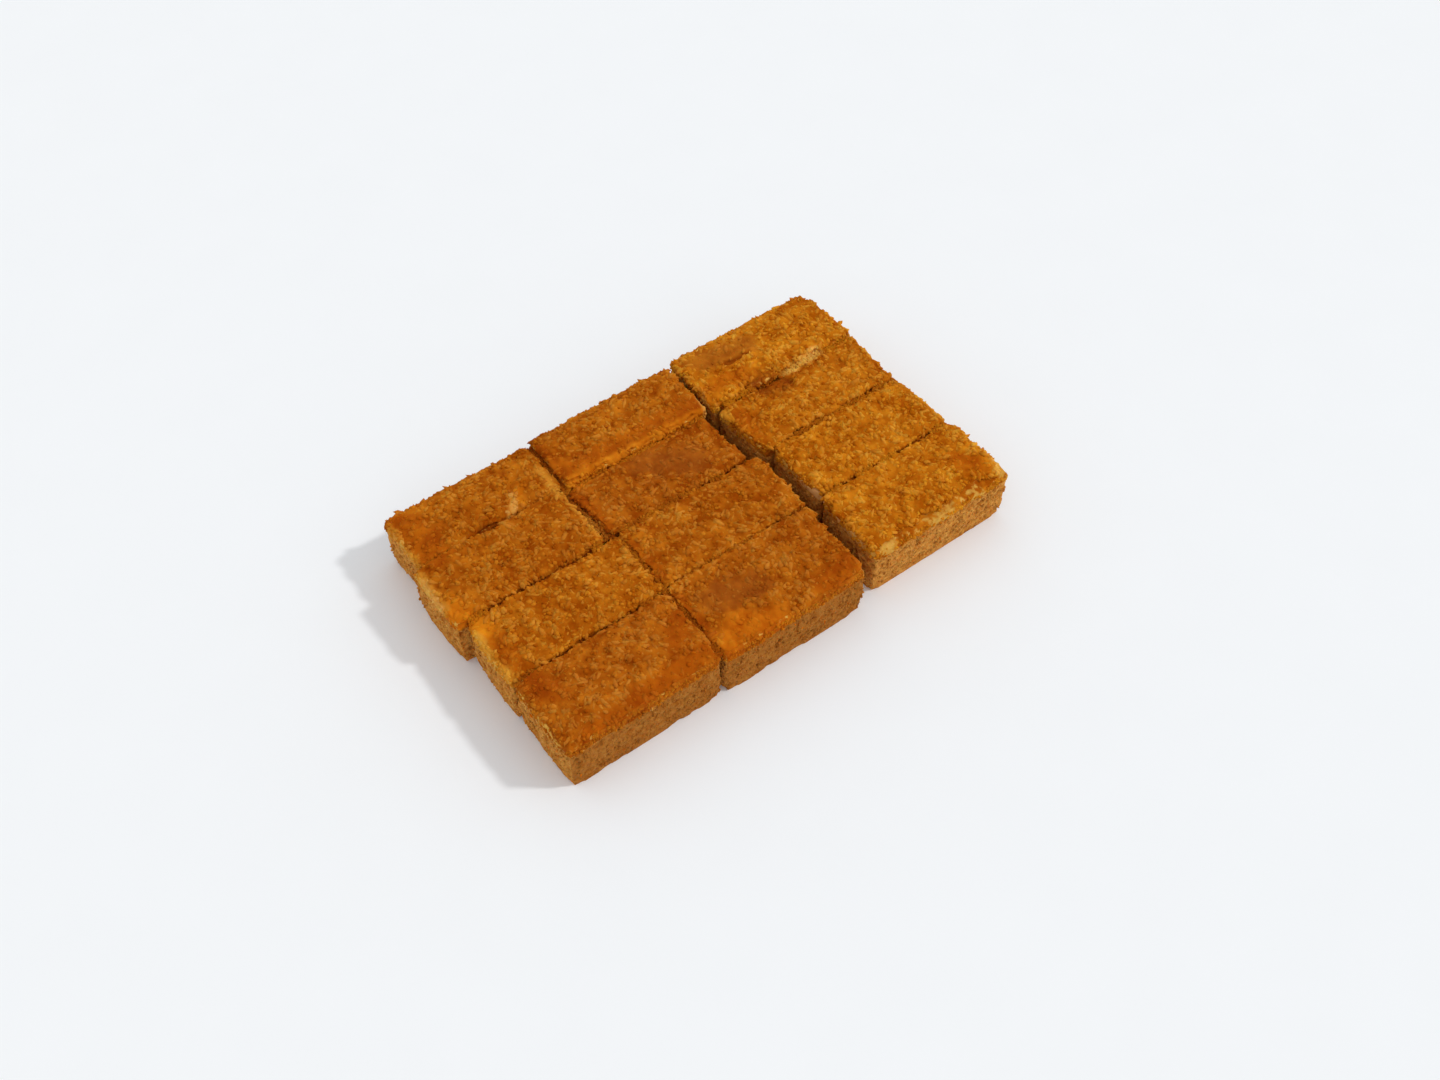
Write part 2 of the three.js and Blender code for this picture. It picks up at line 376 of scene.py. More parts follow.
def end_relief(tree, given, stored, moves):
    """Closes a relief tree: stores named numbers at each vertex and moves it by the sum of some vectors."""
    mesh = given["Mesh"]
    for name, value in stored.items():
        mesh = add_node(
            tree, "GeometryNodeStoreNamedAttribute", {"Geometry": mesh, "Name": name, "Value": value},
            data_type="FLOAT", domain="POINT",
        )
    total = moves[0]
    for move in moves[1:]:
        total = add_node(tree, "ShaderNodeVectorMath", {0: total, 1: move}, operation="ADD")
    moved = add_node(tree, "GeometryNodeSetPosition", {"Geometry": mesh, "Offset": total})
    end_tree(tree, moved, given["Material"])


print("solids that get relief:", 3 * len(BARS))

# %% [markdown]
# ## The crumb coat: where it is thick, thin or rubbed off
#
# On the real cake the crumbs are pressed on by hand. They lie thick in the middle of a bar and thin
# towards edges that were handled, where orange cake shows through, brightest where it is moist.
# Elsewhere a thumb has pressed the coat flat, a crumb has come away and left a hollow, an edge is worn to
# gold, or the coat is scuffed off and a pale streak of cream shows. A hollow is a real dip, and its dark
# red-brown is painted shade; thin hollows along closed cuts paint the shade of a cut. Each such place is a
# stroke across the slab: two ends and a half width. Every vertex stores how far it is from the nearest
# stroke of each kind, as a share of the half width, and the relief tree later frays the border with noise,
# so that no stroke looks drawn.

# %% Strokes on the slab
# Ends and half width of each stroke in millimetres, by what it does to the coat.
STROKES = {
    "thin": (
        ((-87.2, 51.0), (-86.3, 32.0), 6.5),
        ((-88.0, -8.0), (-87.0, -22.0), 3.5),
        ((-84.0, -57.0), (-70.0, -57.0), 2.5),
        ((-64.0, -56.5), (-36.0, -54.5), 4.0),
        ((-86.5, -31.0), (-83.5, -39.0), 4.5),
        ((-41.0, -46.0), (-36.0, -40.0), 4.5),
        ((-29.0, 35.6), (27.0, 35.6), 4.4),
        ((12.0, -57.0), (24.0, -55.0), 4.0),
        ((83.5, -42.0), (90.0, -49.0), 3.5),
        ((37.5, 38.0), (48.0, 37.0), 4.5),
        ((35.6, 24.0), (35.0, 10.0), 2.6),
        ((-31.6, 52.0), (-31.6, 36.0), 1.5),
        ((-32.6, 26.0), (-32.2, 8.0), 2.2),
        ((-29.6, -4.0), (-29.6, -22.0), 1.5),
        ((-30.4, -32.0), (-30.4, -50.0), 1.5),
    ),
    "moist": (
        ((-93.5, 8.0), (-90.5, -2.0), 5.5),
        ((-28.5, -56.5), (-19.5, -51.5), 5.0),
        ((-17.0, -56.0), (-8.0, -57.5), 4.5),
    ),
    "pressed": (
        ((40.0, 51.5), (58.0, 49.5), 6.0),
        ((-4.0, 24.0), (8.0, 15.0), 7.5),
        ((-20.0, -39.0), (-8.0, -43.0), 6.0),
    ),
    # Hollows: a real dip, coloured dark red-brown as painted shade. The thin ones lie along closed cuts.
    "hollow": (
        ((50.5, 30.5), (57.5, 26.5), 5.2),
        ((47.0, 45.2), (57.0, 44.6), 1.0),
        ((47.0, 2.0), (57.0, 2.6), 1.5),
        ((69.0, 2.6), (86.0, 2.0), 1.3),
        ((-68.0, 31.5), (-63.0, 31.0), 1.5),
    ),
    "worn": (
        ((-37.2, 43.0), (-38.2, 28.0), 1.8),
        ((-93.2, 53.0), (-93.4, 33.0), 1.8),
        ((-95.2, 27.0), (-94.9, 11.0), 2.0),
        ((-92.0, -4.0), (-91.5, -26.0), 1.7),
        ((-36.6, 29.0), (-36.9, 6.0), 1.2),
        ((31.6, 29.5), (32.2, 23.0), 1.2),
        ((96.5, 52.0), (95.5, 30.0), 1.3),
        ((95.3, 27.0), (94.4, -26.0), 1.2),
        ((96.0, -32.0), (96.5, -46.0), 1.3),
    ),
    "golden": (
        ((-47.4, 40.5), (-50.4, 35.0), 1.8),
        ((-31.0, 30.8), (-23.0, 31.4), 2.6),
        ((-23.0, 31.0), (28.0, 31.0), 1.8),
    ),
    "scuffed": (
        ((-51.2, 39.6), (-54.8, 33.2), 1.5),
        ((-56.0, 33.4), (-57.2, 31.4), 0.9),
        ((-93.6, 50.0), (-94.0, 34.0), 0.9),
        ((-95.4, 25.0), (-95.2, 12.0), 0.9),
        ((64.0, 28.8), (78.0, 30.2), 1.9),
        ((28.6, 37.0), (27.6, 31.0), 1.5),
        ((93.5, -54.5), (95.5, -50.0), 1.8),
    ),
}
print("strokes:", {kind: len(strokes) for kind, strokes in STROKES.items()})

# %% Reach of the strokes
# Farther away than this many half widths, a stroke is no longer felt.
FAR = 4.0


def stroke_reach(points, strokes):
    """How far points on the slab are from the nearest stroke, as a share of its half width."""
    nearest = np.full(len(points), FAR)
    for start, end, half_width in strokes:
        start, end = np.array(start) * MM, np.array(end) * MM
        run = end - start
        along = np.clip((points - start) @ run / (run @ run), 0, 1)
        gap = np.linalg.norm(points - start - along[:, None] * run, axis=1)
        nearest = np.minimum(nearest, gap / (half_width * MM))
    return nearest


middle_reach = stroke_reach(np.zeros((1, 2)), STROKES["pressed"])
print("half widths from the middle of the slab to the nearest pressed place:", round(middle_reach[0], 2))

# %% [markdown]
# ## The crumb coat: relief
#
# Pressed crumbs make a matted surface: clumps a few millimetres wide, grains of about two millimetres
# on them and grit between. A bump map would fake this from straight above, but the coat's edge would
# stay a clean line, so the relief is real. It is the sum of a noise for the clumps and two cell patterns
# for grains and grit, whose domes stand up between dark joints. The height is also given as a share, so
# that the material can paint shade by it, making high grains golden and low joints brown.

# %% Matted crumbs
# The sizes of the coat's relief. Each one becomes a named input of its tree.
COAT_SIZES = {
    "Clump size": 6.0 * MM, "Clump height": 1.2 * MM,
    "Grain size": 2.6 * MM, "Grain height": 0.6 * MM,
    "Grit size": 1.4 * MM, "Grit height": 0.2 * MM,
    "Fray size": 4.0 * MM, "Fray": 2.0, "Rubbed relief": 0.8,
    "thin sink": 0.1 * MM, "moist sink": 0.2 * MM, "pressed sink": 0.2 * MM,
    "hollow sink": 1.3 * MM, "worn sink": 0.1 * MM, "golden sink": 0.1 * MM, "scuffed sink": 0.2 * MM,
    "Hang": 4.5 * MM, "Ragged size": 5.0 * MM, "Ragged reach": 1.4 * MM, **LAYER_SIZES,
}
# The dome of a grain, from the middle of its cell out to the joint.
DOME = {"From Min": 0.05, "From Max": 0.75, "To Min": 0.5, "To Max": -0.5}


def matted_relief(tree, place, given):
    """The sum of clumps, grains and grit, each about zero, and the same as a share from 0 to 1."""
    clumps = noise_about_zero(tree, place, given["Clump size"], detail=1.0)
    relief = add_node(tree, "ShaderNodeMath", {0: clumps, 1: given["Clump height"]}, operation="MULTIPLY")
    for label in ("Grain", "Grit"):
        scale = add_node(tree, "ShaderNodeMath", {0: 1.0, 1: given[label + " size"]}, operation="DIVIDE")
        cells = add_node(tree, "ShaderNodeTexVoronoi", {"Vector": place, "Scale": scale})
        domes = add_node(tree, "ShaderNodeMapRange", {"Value": cells, **DOME})
        relief = add_node(
            tree, "ShaderNodeMath", {0: domes, 1: given[label + " height"], 2: relief},
            operation="MULTIPLY_ADD",
        )
    tallest = add_node(
        tree, "ShaderNodeMath", {0: given["Grain height"], 1: given["Clump height"]}, operation="ADD"
    )
    share = add_node(tree, "ShaderNodeMath", {0: relief, 1: tallest}, operation="DIVIDE")
    share = add_node(tree, "ShaderNodeMath", {0: share, 1: MIDDLE}, operation="ADD", use_clamp=True)
    return relief, share


print("named sizes of the coat:", len(COAT_SIZES))

# %% [markdown]
# ## The crumb coat: strokes in the relief
#
# A noise frays the border of each stroke, so that it does not look drawn. Rubbed places stay calm, lie a
# little lower and keep fewer loose crumbs. Each kind's share is stored too, because the material colours
# it.

# %% Strokes in the relief
# How many half widths from its middle a stroke begins to show, and where it shows wholly.
STROKE_OUTER, STROKE_INNER = 1.45, 0.45
STROKE_EDGE = {"From Min": STROKE_OUTER, "From Max": STROKE_INNER}
# The share of loose crumbs that each kind of stroke takes away.
CRUMBS_TAKEN = {
    "thin": 0.45, "moist": 0.6, "pressed": 0.7, "hollow": 0.6, "worn": 0.2, "golden": 0.5, "scuffed": 0.3,
}


def stroke_shares(tree, fray, given):
    """The shares to store for each stroke and for loose crumbs, how rubbed a place is and how far sunk."""
    shares = {}
    rubbed, sunk, taken = 0.0, 0.0, 0.0
    for kind in STROKES:
        reach = add_node(
            tree, "GeometryNodeInputNamedAttribute", {"Name": kind + "_reach"}, data_type="FLOAT"
        )
        frayed = add_node(
            tree, "ShaderNodeMath", {0: fray, 1: given["Fray"], 2: reach}, operation="MULTIPLY_ADD"
        )
        share = add_node(
            tree, "ShaderNodeMapRange", {"Value": frayed, **STROKE_EDGE}, interpolation_type="SMOOTHSTEP"
        )
        shares[kind] = share
        rubbed = add_node(tree, "ShaderNodeMath", {0: rubbed, 1: share}, operation="MAXIMUM")
        sunk = add_node(
            tree, "ShaderNodeMath", {0: share, 1: given[kind + " sink"], 2: sunk}, operation="MULTIPLY_ADD"
        )
        taken = add_node(
            tree, "ShaderNodeMath", {0: share, 1: CRUMBS_TAKEN[kind], 2: taken}, operation="MULTIPLY_ADD"
        )
    shares["loose"] = add_node(
        tree, "ShaderNodeMath", {0: 1.0, 1: taken}, operation="SUBTRACT", use_clamp=True
    )
    return shares, rubbed, sunk


print("kinds of stroke that take crumbs:", len(CRUMBS_TAKEN))

# %% [markdown]
# ## The crumb coat: its rim
#
# At its rim the coat hangs ragged over the side below it. How steep the surface is, blurred, tells where
# the rim is. Its lower part hangs down by a share that the side and the fraying noise give it, and stands
# out a little as it does. Where the rim shows, one more noise bites into it and lets it stick out.

# %% Hanging rim
RIM_BLUR = 3
DOWN = (0.0, 0.0, -1.0)
# How far the hanging rim stands out from the side, as a share of how far it hangs.
HANG_FLARE = 0.15
# The part of the fraying noise that makes rags, and the part of its own noise that makes bites.
RAGS = {"From Min": -0.2, "From Max": 0.2}
BITES = {"From Min": 0.35, "From Max": 0.65, "To Min": -1.0, "To Max": 1.0}


def hanging_rim(tree, place, normal, facing, fray, given):
    """How far the rim of a coat stands out and how far it hangs down, as two vectors."""
    steep = add_node(tree, "ShaderNodeMath", {0: facing}, operation="ABSOLUTE")
    steep = add_node(tree, "ShaderNodeMath", {0: 1.0, 1: steep}, operation="SUBTRACT")
    rim = add_node(
        tree, "GeometryNodeBlurAttribute", {"Value": steep, "Iterations": RIM_BLUR}, data_type="FLOAT"
    )
    rags = add_node(tree, "ShaderNodeMapRange", {"Value": fray, **RAGS})
    border, overhang, shown = (
        add_node(tree, "GeometryNodeInputNamedAttribute", {"Name": name}, data_type="FLOAT")
        for name in ("border", "overhang", "shown")
    )
    hang = given["Hang"]
    for share in (border, overhang, rim, rags):
        hang = add_node(tree, "ShaderNodeMath", {0: hang, 1: share}, operation="MULTIPLY")

    ragged_scale = add_node(tree, "ShaderNodeMath", {0: 1.0, 1: given["Ragged size"]}, operation="DIVIDE")
    bites = add_node(tree, "ShaderNodeTexNoise", {"Vector": place, "Scale": ragged_scale, "Detail": 2.0})
    bites = add_node(tree, "ShaderNodeMapRange", {"Value": bites, **BITES})
    for share in (given["Ragged reach"], shown, rim):
        bites = add_node(tree, "ShaderNodeMath", {0: bites, 1: share}, operation="MULTIPLY")
    flare = add_node(tree, "ShaderNodeMath", {0: hang, 1: HANG_FLARE}, operation="MULTIPLY")
    flare = add_node(tree, "ShaderNodeMath", {0: flare, 1: bites}, operation="ADD")

    outward = add_node(tree, "ShaderNodeVectorMath", {0: normal, 1: ON_SLAB}, operation="MULTIPLY")
    outward = add_node(tree, "ShaderNodeVectorMath", {0: outward, "Scale": flare}, operation="SCALE")
    downward = add_node(tree, "ShaderNodeVectorMath", {0: DOWN, "Scale": hang}, operation="SCALE")
    return outward, downward


print("the rim hangs by mm at most:", round(COAT_SIZES["Hang"] / MM, 1))

# %% [markdown]
# ## The crumb coat: its tree
#
# The tree puts these together. The relief moves each vertex along its normal, and the underside stays
# flat but swells down towards the cream.

# %% Relief tree of the crumb coat
# How far a face must turn up from the underside for relief to begin, and to be whole.
NOT_UNDER = {"From Min": -0.6, "From Max": -0.2}


def crumb_relief_tree():
    """Clumps, grains and grit on a coat, calm and sunk where strokes have rubbed it, ragged at its rim."""
    tree, given = new_tree("crumb_relief", COAT_SIZES)
    place, normal, facing = surface(tree)
    relief, height = matted_relief(tree, place, given)
    fray = noise_about_zero(tree, place, given["Fray size"], detail=2.0)
    strokes, rubbed, sunk = stroke_shares(tree, fray, given)
    calm = add_node(
        tree, "ShaderNodeMapRange", {"Value": rubbed, "To Min": 1.0, "To Max": given["Rubbed relief"]}
    )
    not_under = add_node(tree, "ShaderNodeMapRange", {"Value": facing, **NOT_UNDER})
    for operation, share in (("MULTIPLY", calm), ("SUBTRACT", sunk), ("MULTIPLY", not_under)):
        relief = add_node(tree, "ShaderNodeMath", {0: relief, 1: share}, operation=operation)
    raised = add_node(tree, "ShaderNodeVectorMath", {0: normal, "Scale": relief}, operation="SCALE")
    wave = layer_wave(tree, place, given)
    outward, downward = hanging_rim(tree, place, normal, facing, fray, given)
    under = add_node(tree, "ShaderNodeMath", {0: facing, 1: 0.0}, operation="MINIMUM")
    swell = layer_swell(tree, under, given)
    end_relief(tree, given, {"height": height, **strokes}, (raised, wave, outward, downward, swell))
    return tree


CRUMB_RELIEF = crumb_relief_tree()
print("nodes in the crumb relief:", len(CRUMB_RELIEF.nodes))

# %% [markdown]
# ## Crumb colours
#
# Cake crumbs toasted in butter are matt, with hardly any gloss. Seen close, no two grains have the same
# brown, the crumbs lie in lighter and darker clouds, and a whole bar leans to gold or to red-brown by how
# long it was toasted. Coat, loose crumbs and smears all share this, so two functions make it: one gives
# slow clouds in two sizes, and the other turns a tone into a colour, mixes in the pair of colours that
# each kind of stroke has, such as the clear orange of thin places and the painted shade of hollows, and
# tints the whole by the toast.

# %% Crumb colours
CLOUD_SIZES = (6 * MM, 16 * MM)
# How strongly the clouds of each size show.
CLOUD_STRENGTHS = (1.1, 1.0)
TOAST_TINT = "#E3D0DC"
# How strongly each kind of stroke colours the crumbs, and its darkest and lightest tone.
STROKE_COLOURS = {
    "thin": (0.75, "#AA5004", "#D27408"),
    "moist": (0.85, "#CC6E08", "#F49C18"),
    "pressed": (0.7, "#98500F", "#BC6C1A"),
    # The hollow's dark red-brown is painted shade.
    "hollow": (0.9, "#863C06", "#AA5406"),
    "worn": (0.9, "#CC821A", "#F2B23C"),
    "golden": (0.9, "#CC740A", "#F8A422"),
    "scuffed": (1.0, "#DC962C", "#FFCA6A"),
}
# Some light goes about a millimetre into the cake and comes out redder, which keeps dark joints warm.
SOFT_LIGHT = {"Subsurface Weight": 0.3, "Subsurface Radius": (1.0, 0.4, 0.15), "Subsurface Scale": 1.0 * MM}
# Dry crumbs scatter light so well inside that almost none is mirrored.
CRUMB_FINISH = {"Roughness": 0.9, "Specular IOR Level": 0.04, **SOFT_LIGHT}
print("stroke colours:", len(STROKE_COLOURS))

# %% Functions for crumb colours


def cloud_tone(tree, coordinates):
    """Slow clouds of two sizes, from below to above zero."""
    tone = 0.0
    for size, strength in zip(CLOUD_SIZES, CLOUD_STRENGTHS):
        cloud = add_node(
            tree, "ShaderNodeTexNoise", {"Vector": coordinates, "Scale": 1 / size, "Detail": 2.0}
        )
        cloud = add_node(tree, "ShaderNodeMath", {0: cloud, 1: MIDDLE}, operation="SUBTRACT")
        tone = add_node(tree, "ShaderNodeMath", {0: cloud, 1: strength, 2: tone}, operation="MULTIPLY_ADD")
    return tone


def crumb_colour(tree, tone, dark, light):
    """The colour of crumbs: by tone, then each stroke's, hollows' as painted shade, tinted by the toast."""
    colour = add_node(
        tree, "ShaderNodeMix", {"Factor": tone, 6: linear(dark), 7: linear(light)}, data_type="RGBA"
    )
    for kind, (strength, darkest, lightest) in STROKE_COLOURS.items():
        stroke = add_node(tree, "ShaderNodeAttribute", attribute_name=kind).outputs["Fac"]
        share = add_node(tree, "ShaderNodeMath", {0: stroke, 1: strength}, operation="MULTIPLY")
        patch = add_node(
            tree, "ShaderNodeMix", {"Factor": tone, 6: linear(darkest), 7: linear(lightest)},
            data_type="RGBA",
        )
        colour = add_node(
            tree, "ShaderNodeMix", {"Factor": share, 6: colour.outputs[2], 7: patch.outputs[2]},
            data_type="RGBA",
        )
    toast = add_node(tree, "ShaderNodeAttribute", attribute_name="toast").outputs["Fac"]
    return add_node(
        tree, "ShaderNodeMix", {"Factor": toast, 6: colour.outputs[2], 7: linear(TOAST_TINT)},
        data_type="RGBA", blend_type="MULTIPLY",
    ).outputs[2]


print("clouds in mm:", [round(size / MM) for size in CLOUD_SIZES])

# %% [markdown]
# ## The crumb coat: material
#
# On the coat itself the grains that stand up are painted golden and what lies in the joints is painted
# dark, as light and shade fall there. So its tone is the sum of the stored height, a random share for each
# grain-sized cell, and the clouds. Grit too fine for the mesh is a small bump.

# %% Crumb coat material
GRAIN_TONE_SIZE = 2.4 * MM
# How far the height moves the tone, as painted light and shade, and how far each grain's own share does.
HEIGHT_SHADE, GRAIN_TONE = 0.5, 0.2
FINE_GRIT_SIZE = 0.5 * MM
FINE_GRIT_BUMP = {"Strength": 0.3, "Distance": 0.15 * MM}
COAT_DARK, COAT_LIGHT = "#A45000", "#E3901B"


def grain_tone(tree, coordinates):
    """The tone of matted crumbs: painted shade from the stored height, a share for each grain, the clouds.
    """
    height = add_node(tree, "ShaderNodeAttribute", attribute_name="height").outputs["Fac"]
    cells = add_node(tree, "ShaderNodeTexVoronoi", {"Vector": coordinates, "Scale": 1 / GRAIN_TONE_SIZE})
    each = add_node(tree, "ShaderNodeSeparateColor", {0: cells.outputs["Color"]})
    tone = cloud_tone(tree, coordinates)
    tone = add_node(tree, "ShaderNodeMath", {0: height, 1: HEIGHT_SHADE, 2: tone}, operation="MULTIPLY_ADD")
    return add_node(
        tree, "ShaderNodeMath", {0: each, 1: GRAIN_TONE, 2: tone}, operation="MULTIPLY_ADD", use_clamp=True
    )


def crumb_coat_material():
    """Toasted crumbs, pressed on: matt, speckled gold to brown, shade painted in joints, orange where thin.
    """
    material, tree, coordinates = new_material("toasted_crumb_coat")
    coat = crumb_colour(tree, grain_tone(tree, coordinates), COAT_DARK, COAT_LIGHT)
    grit = add_node(tree, "ShaderNodeTexNoise", {"Vector": coordinates, "Scale": 1 / FINE_GRIT_SIZE})
    bump = add_node(tree, "ShaderNodeBump", {"Height": grit, **FINE_GRIT_BUMP})
    end_material(tree, {"Base Color": coat, "Normal": bump, **CRUMB_FINISH})
    return material


CRUMB_COAT = crumb_coat_material()
print("crumb coat:", len(CRUMB_COAT.node_tree.nodes), "nodes")

# %% [markdown]
# ## Which sides were patted, cut or torn
#
# The slab's own front and back met the tin: they are browner, and the crumbs were patted down over the
# edge and hide the cream. One bar that stands above its neighbour got the same pat. A knife leaves the
# crumbs where they were, with a little hanging over. Parts of two fronts tore open instead, and there the
# cream lies bare. A few functions give the share of each at every vertex, so that all three layers agree
# on where they change.

# %% Sides of the bars
FRONT, BACK = (0, -1, 0), (0, 1, 0)
ENDS = ((-1, 0, 0), (1, 0, 0))
PATTED_FRONTS = ("left_4", "middle_1", "middle_4")
# Where a front tore open, from and to along the slab in mm, and how far back the cream is bare.
TORN_FRONTS = {"right_1": ((64, 82),), "right_4": ((35, 46), (56, 73), (76, 86), (90, 99))}
TORN_REACH = {"right_1": 3.0 * MM, "right_4": 6.0 * MM}
TORN_FADE = 2.0 * MM
TORN_BARENESS = 0.87
CUT_OVERHANG = 0.4
# How far a normal must lean towards a direction to belong to that side, and to belong to it wholly.
LEAN_LEAST, LEAN_WHOLE = 0.3, 0.7


def patted_directions(bar):
    """The sides of a bar over which crumbs were patted: the back of row 1 and a few fronts."""
    sides = [BACK] if bar.endswith("_1") else []
    return sides + [FRONT] if bar in PATTED_FRONTS else sides


def side_share(normals, directions):
    """How wholly each vertex belongs to one of some sides, from 0 to 1."""
    share = np.zeros(len(normals))
    for direction in directions:
        lean = normals @ np.array(direction)
        share = np.maximum(share, np.clip((lean - LEAN_LEAST) / (LEAN_WHOLE - LEAN_LEAST), 0, 1))
    return share


def shown_share(bar, normals):
    """How much of each vertex shows: not where a knife cut faces the next bar."""
    fronts = [FRONT] if bar in TORN_FRONTS else []
    return side_share(normals, [*ENDS, *patted_directions(bar), *fronts])


def torn_share(bar, places):
    """How bare the torn front of a bar is at each place: most at the face, none behind the strip."""
    if bar not in TORN_FRONTS:
        return np.zeros(len(places))
    along = np.zeros(len(places))
    for start, end in TORN_FRONTS[bar]:
        inside = np.minimum(places[:, 0] - start * MM, end * MM - places[:, 0])
        along = np.maximum(along, np.clip(inside / TORN_FADE, 0, 1))
    depth = places[:, 1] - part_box(f"cream_{bar}")[0].y
    return TORN_BARENESS * along * np.clip(2 - 2 * depth / TORN_REACH[bar], 0, 1)


print("patted fronts:", len(PATTED_FRONTS), "torn fronts:", len(TORN_FRONTS))

# %% [markdown]
# ## The crumb coats of the bars
#
# With the strokes, the tree and the material in place, one loop dresses all twelve bars. Each coat
# replaces its solid and keeps its form, since the relief is only about half a millimetre high.

# %% Make the crumb coats
COAT_CELL = 0.45 * MM
# How far up from the coat's underside the wandering border is felt.
COAT_WAVE_REACH = 1.8 * MM
# How long each bar was toasted, from the back row to the front row: 0 is golden, 1 is red-brown.
BAR_TOAST = {
    "left": (0.7, 0.75, 0.5, 1.0),
    "middle": (0.75, 1.0, 0.8, 0.95),
    "right": (0.0, 0.3, 0.05, 0.0),
}


def bar_toast(bar):
    """How long a bar was toasted."""
    column, row = bar.split("_")
    return BAR_TOAST[column][int(row) - 1]


coats = new_collection("crumb_coats")
for bar in BARS:
    coat = fine_skin(f"crumbs_{bar}", f"crumb_coat_{bar}", COAT_CELL, coats)
    places = point_values(coat.data, "co")
    normals = point_values(coat.data, "normal")
    for kind, strokes in STROKES.items():
        store_points(coat.data, kind + "_reach", stroke_reach(places[:, :2], strokes))
    height = places[:, 2] - places[:, 2].min()
    store_points(coat.data, "border", 1 - np.clip(height / COAT_WAVE_REACH, 0, 1))
    overhang = np.maximum(side_share(normals, patted_directions(bar)), CUT_OVERHANG)
    store_points(coat.data, "overhang", overhang * (1 - torn_share(bar, places)))
    store_points(coat.data, "shown", shown_share(bar, normals))
    store_points(coat.data, "toast", bar_toast(bar))
    run_tree(coat, CRUMB_RELIEF, {**COAT_SIZES, "Material": CRUMB_COAT})
    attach(coat, "root")
    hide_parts(f"crumbs_{bar}")

# %% [markdown]
# ## The cream
#
# Under the crumbs lies a spread of cream that shows as a pale ragged line along the ends of the bars and
# where a front tore open. Elsewhere crumbs cover it. The tree makes soft lumps where the cream is bare
# and grains like those of the coat where crumbs stick to it, and stores how high they stand.

# %% Relief tree of the cream
CREAM_SIZES = {
    "Lump size": 3.4 * MM, "Lump height": 1.3 * MM,
    "Grain size": 2.0 * MM, "Grain height": 0.8 * MM, "Drawn in": 0.3 * MM, **LAYER_SIZES,
}
# How level a face may lie for relief to begin, and how level it is where it counts wholly as a side.
CREAM_SIDE = {"From Min": 0.9, "From Max": 0.5}
# The height of a stuck grain, from the middle of its cell out to the joint.
STUCK_DOME = {"From Max": 0.75, "To Min": 1.0, "To Max": 0.0}


def cream_relief_tree():
    """Lumps on the bare parts of a cream layer, and grains where crumbs stick to it."""
    tree, given = new_tree("cream_relief", CREAM_SIZES)
    place, normal, facing = surface(tree)
    level = add_node(tree, "ShaderNodeMath", {0: facing}, operation="ABSOLUTE")
    side = add_node(tree, "ShaderNodeMapRange", {"Value": level, **CREAM_SIDE})
    bare = add_node(tree, "GeometryNodeInputNamedAttribute", {"Name": "bare"}, data_type="FLOAT")
    covered = add_node(tree, "GeometryNodeInputNamedAttribute", {"Name": "covered"}, data_type="FLOAT")

    lumps = noise_about_zero(tree, place, given["Lump size"], detail=3.0)
    lumps = add_node(tree, "ShaderNodeMath", {0: lumps, 1: given["Lump height"]}, operation="MULTIPLY")
    grain_scale = add_node(tree, "ShaderNodeMath", {0: 1.0, 1: given["Grain size"]}, operation="DIVIDE")
    cells = add_node(tree, "ShaderNodeTexVoronoi", {"Vector": place, "Scale": grain_scale})
    height = add_node(tree, "ShaderNodeMapRange", {"Value": cells, **STUCK_DOME})
    grains = add_node(tree, "ShaderNodeMath", {0: height, 1: MIDDLE}, operation="SUBTRACT")
    for operation, size in (("MULTIPLY", "Grain height"), ("SUBTRACT", "Drawn in")):
        grains = add_node(tree, "ShaderNodeMath", {0: grains, 1: given[size]}, operation=operation)
    relief = add_node(tree, "ShaderNodeMath", {0: grains, 1: covered, 2: lumps}, operation="MULTIPLY_ADD")
    shown = add_node(tree, "ShaderNodeMath", {0: side, 1: bare}, operation="MAXIMUM")
    relief = add_node(tree, "ShaderNodeMath", {0: relief, 1: shown}, operation="MULTIPLY")

    raised = add_node(tree, "ShaderNodeVectorMath", {0: normal, "Scale": relief}, operation="SCALE")
    moves = (raised, layer_swell(tree, facing, given), layer_wave(tree, place, given))
    end_relief(tree, given, {"height": height}, moves)
    return tree


CREAM_RELIEF = cream_relief_tree()
print("cream relief:", len(CREAM_RELIEF.nodes), "nodes")

# %% [markdown]
# ## The cream's material
#
# Cream with brown sugar in it is a pale gold, soft to the eye and faintly glossy. Crumb smears cover
# part of it, which a noise with a clear edge gives: a small part where the cream lies bare, nearly all of
# it where crumbs were patted over the side.

# %% Cream material
SMEAR_SIZE = 3.6 * MM
SMEAR_BUMP = {"Strength": 0.5, "Distance": 0.3 * MM}
# The part of the smears' noise that takes bare cream from pale to deep.
CREAM_TONES = {"From Min": 0.3, "From Max": 0.6}
CREAM_PALE, CREAM_DEEP = "#DEA84C", "#B67820"
# Where two columns stand apart, the knife has wiped the cream clean in a few places.
CREAM_WIPED = "#DEA664"
# How far a full cover of crumbs lifts that noise, and where in it smears begin and are whole.
COVER_LIFT = 0.3
SMEAR_EDGE = {"From Min": 0.52, "From Max": 0.64}
CREAM_FINISH = {"Roughness": 0.8, "Specular IOR Level": 0.05, **SOFT_LIGHT}


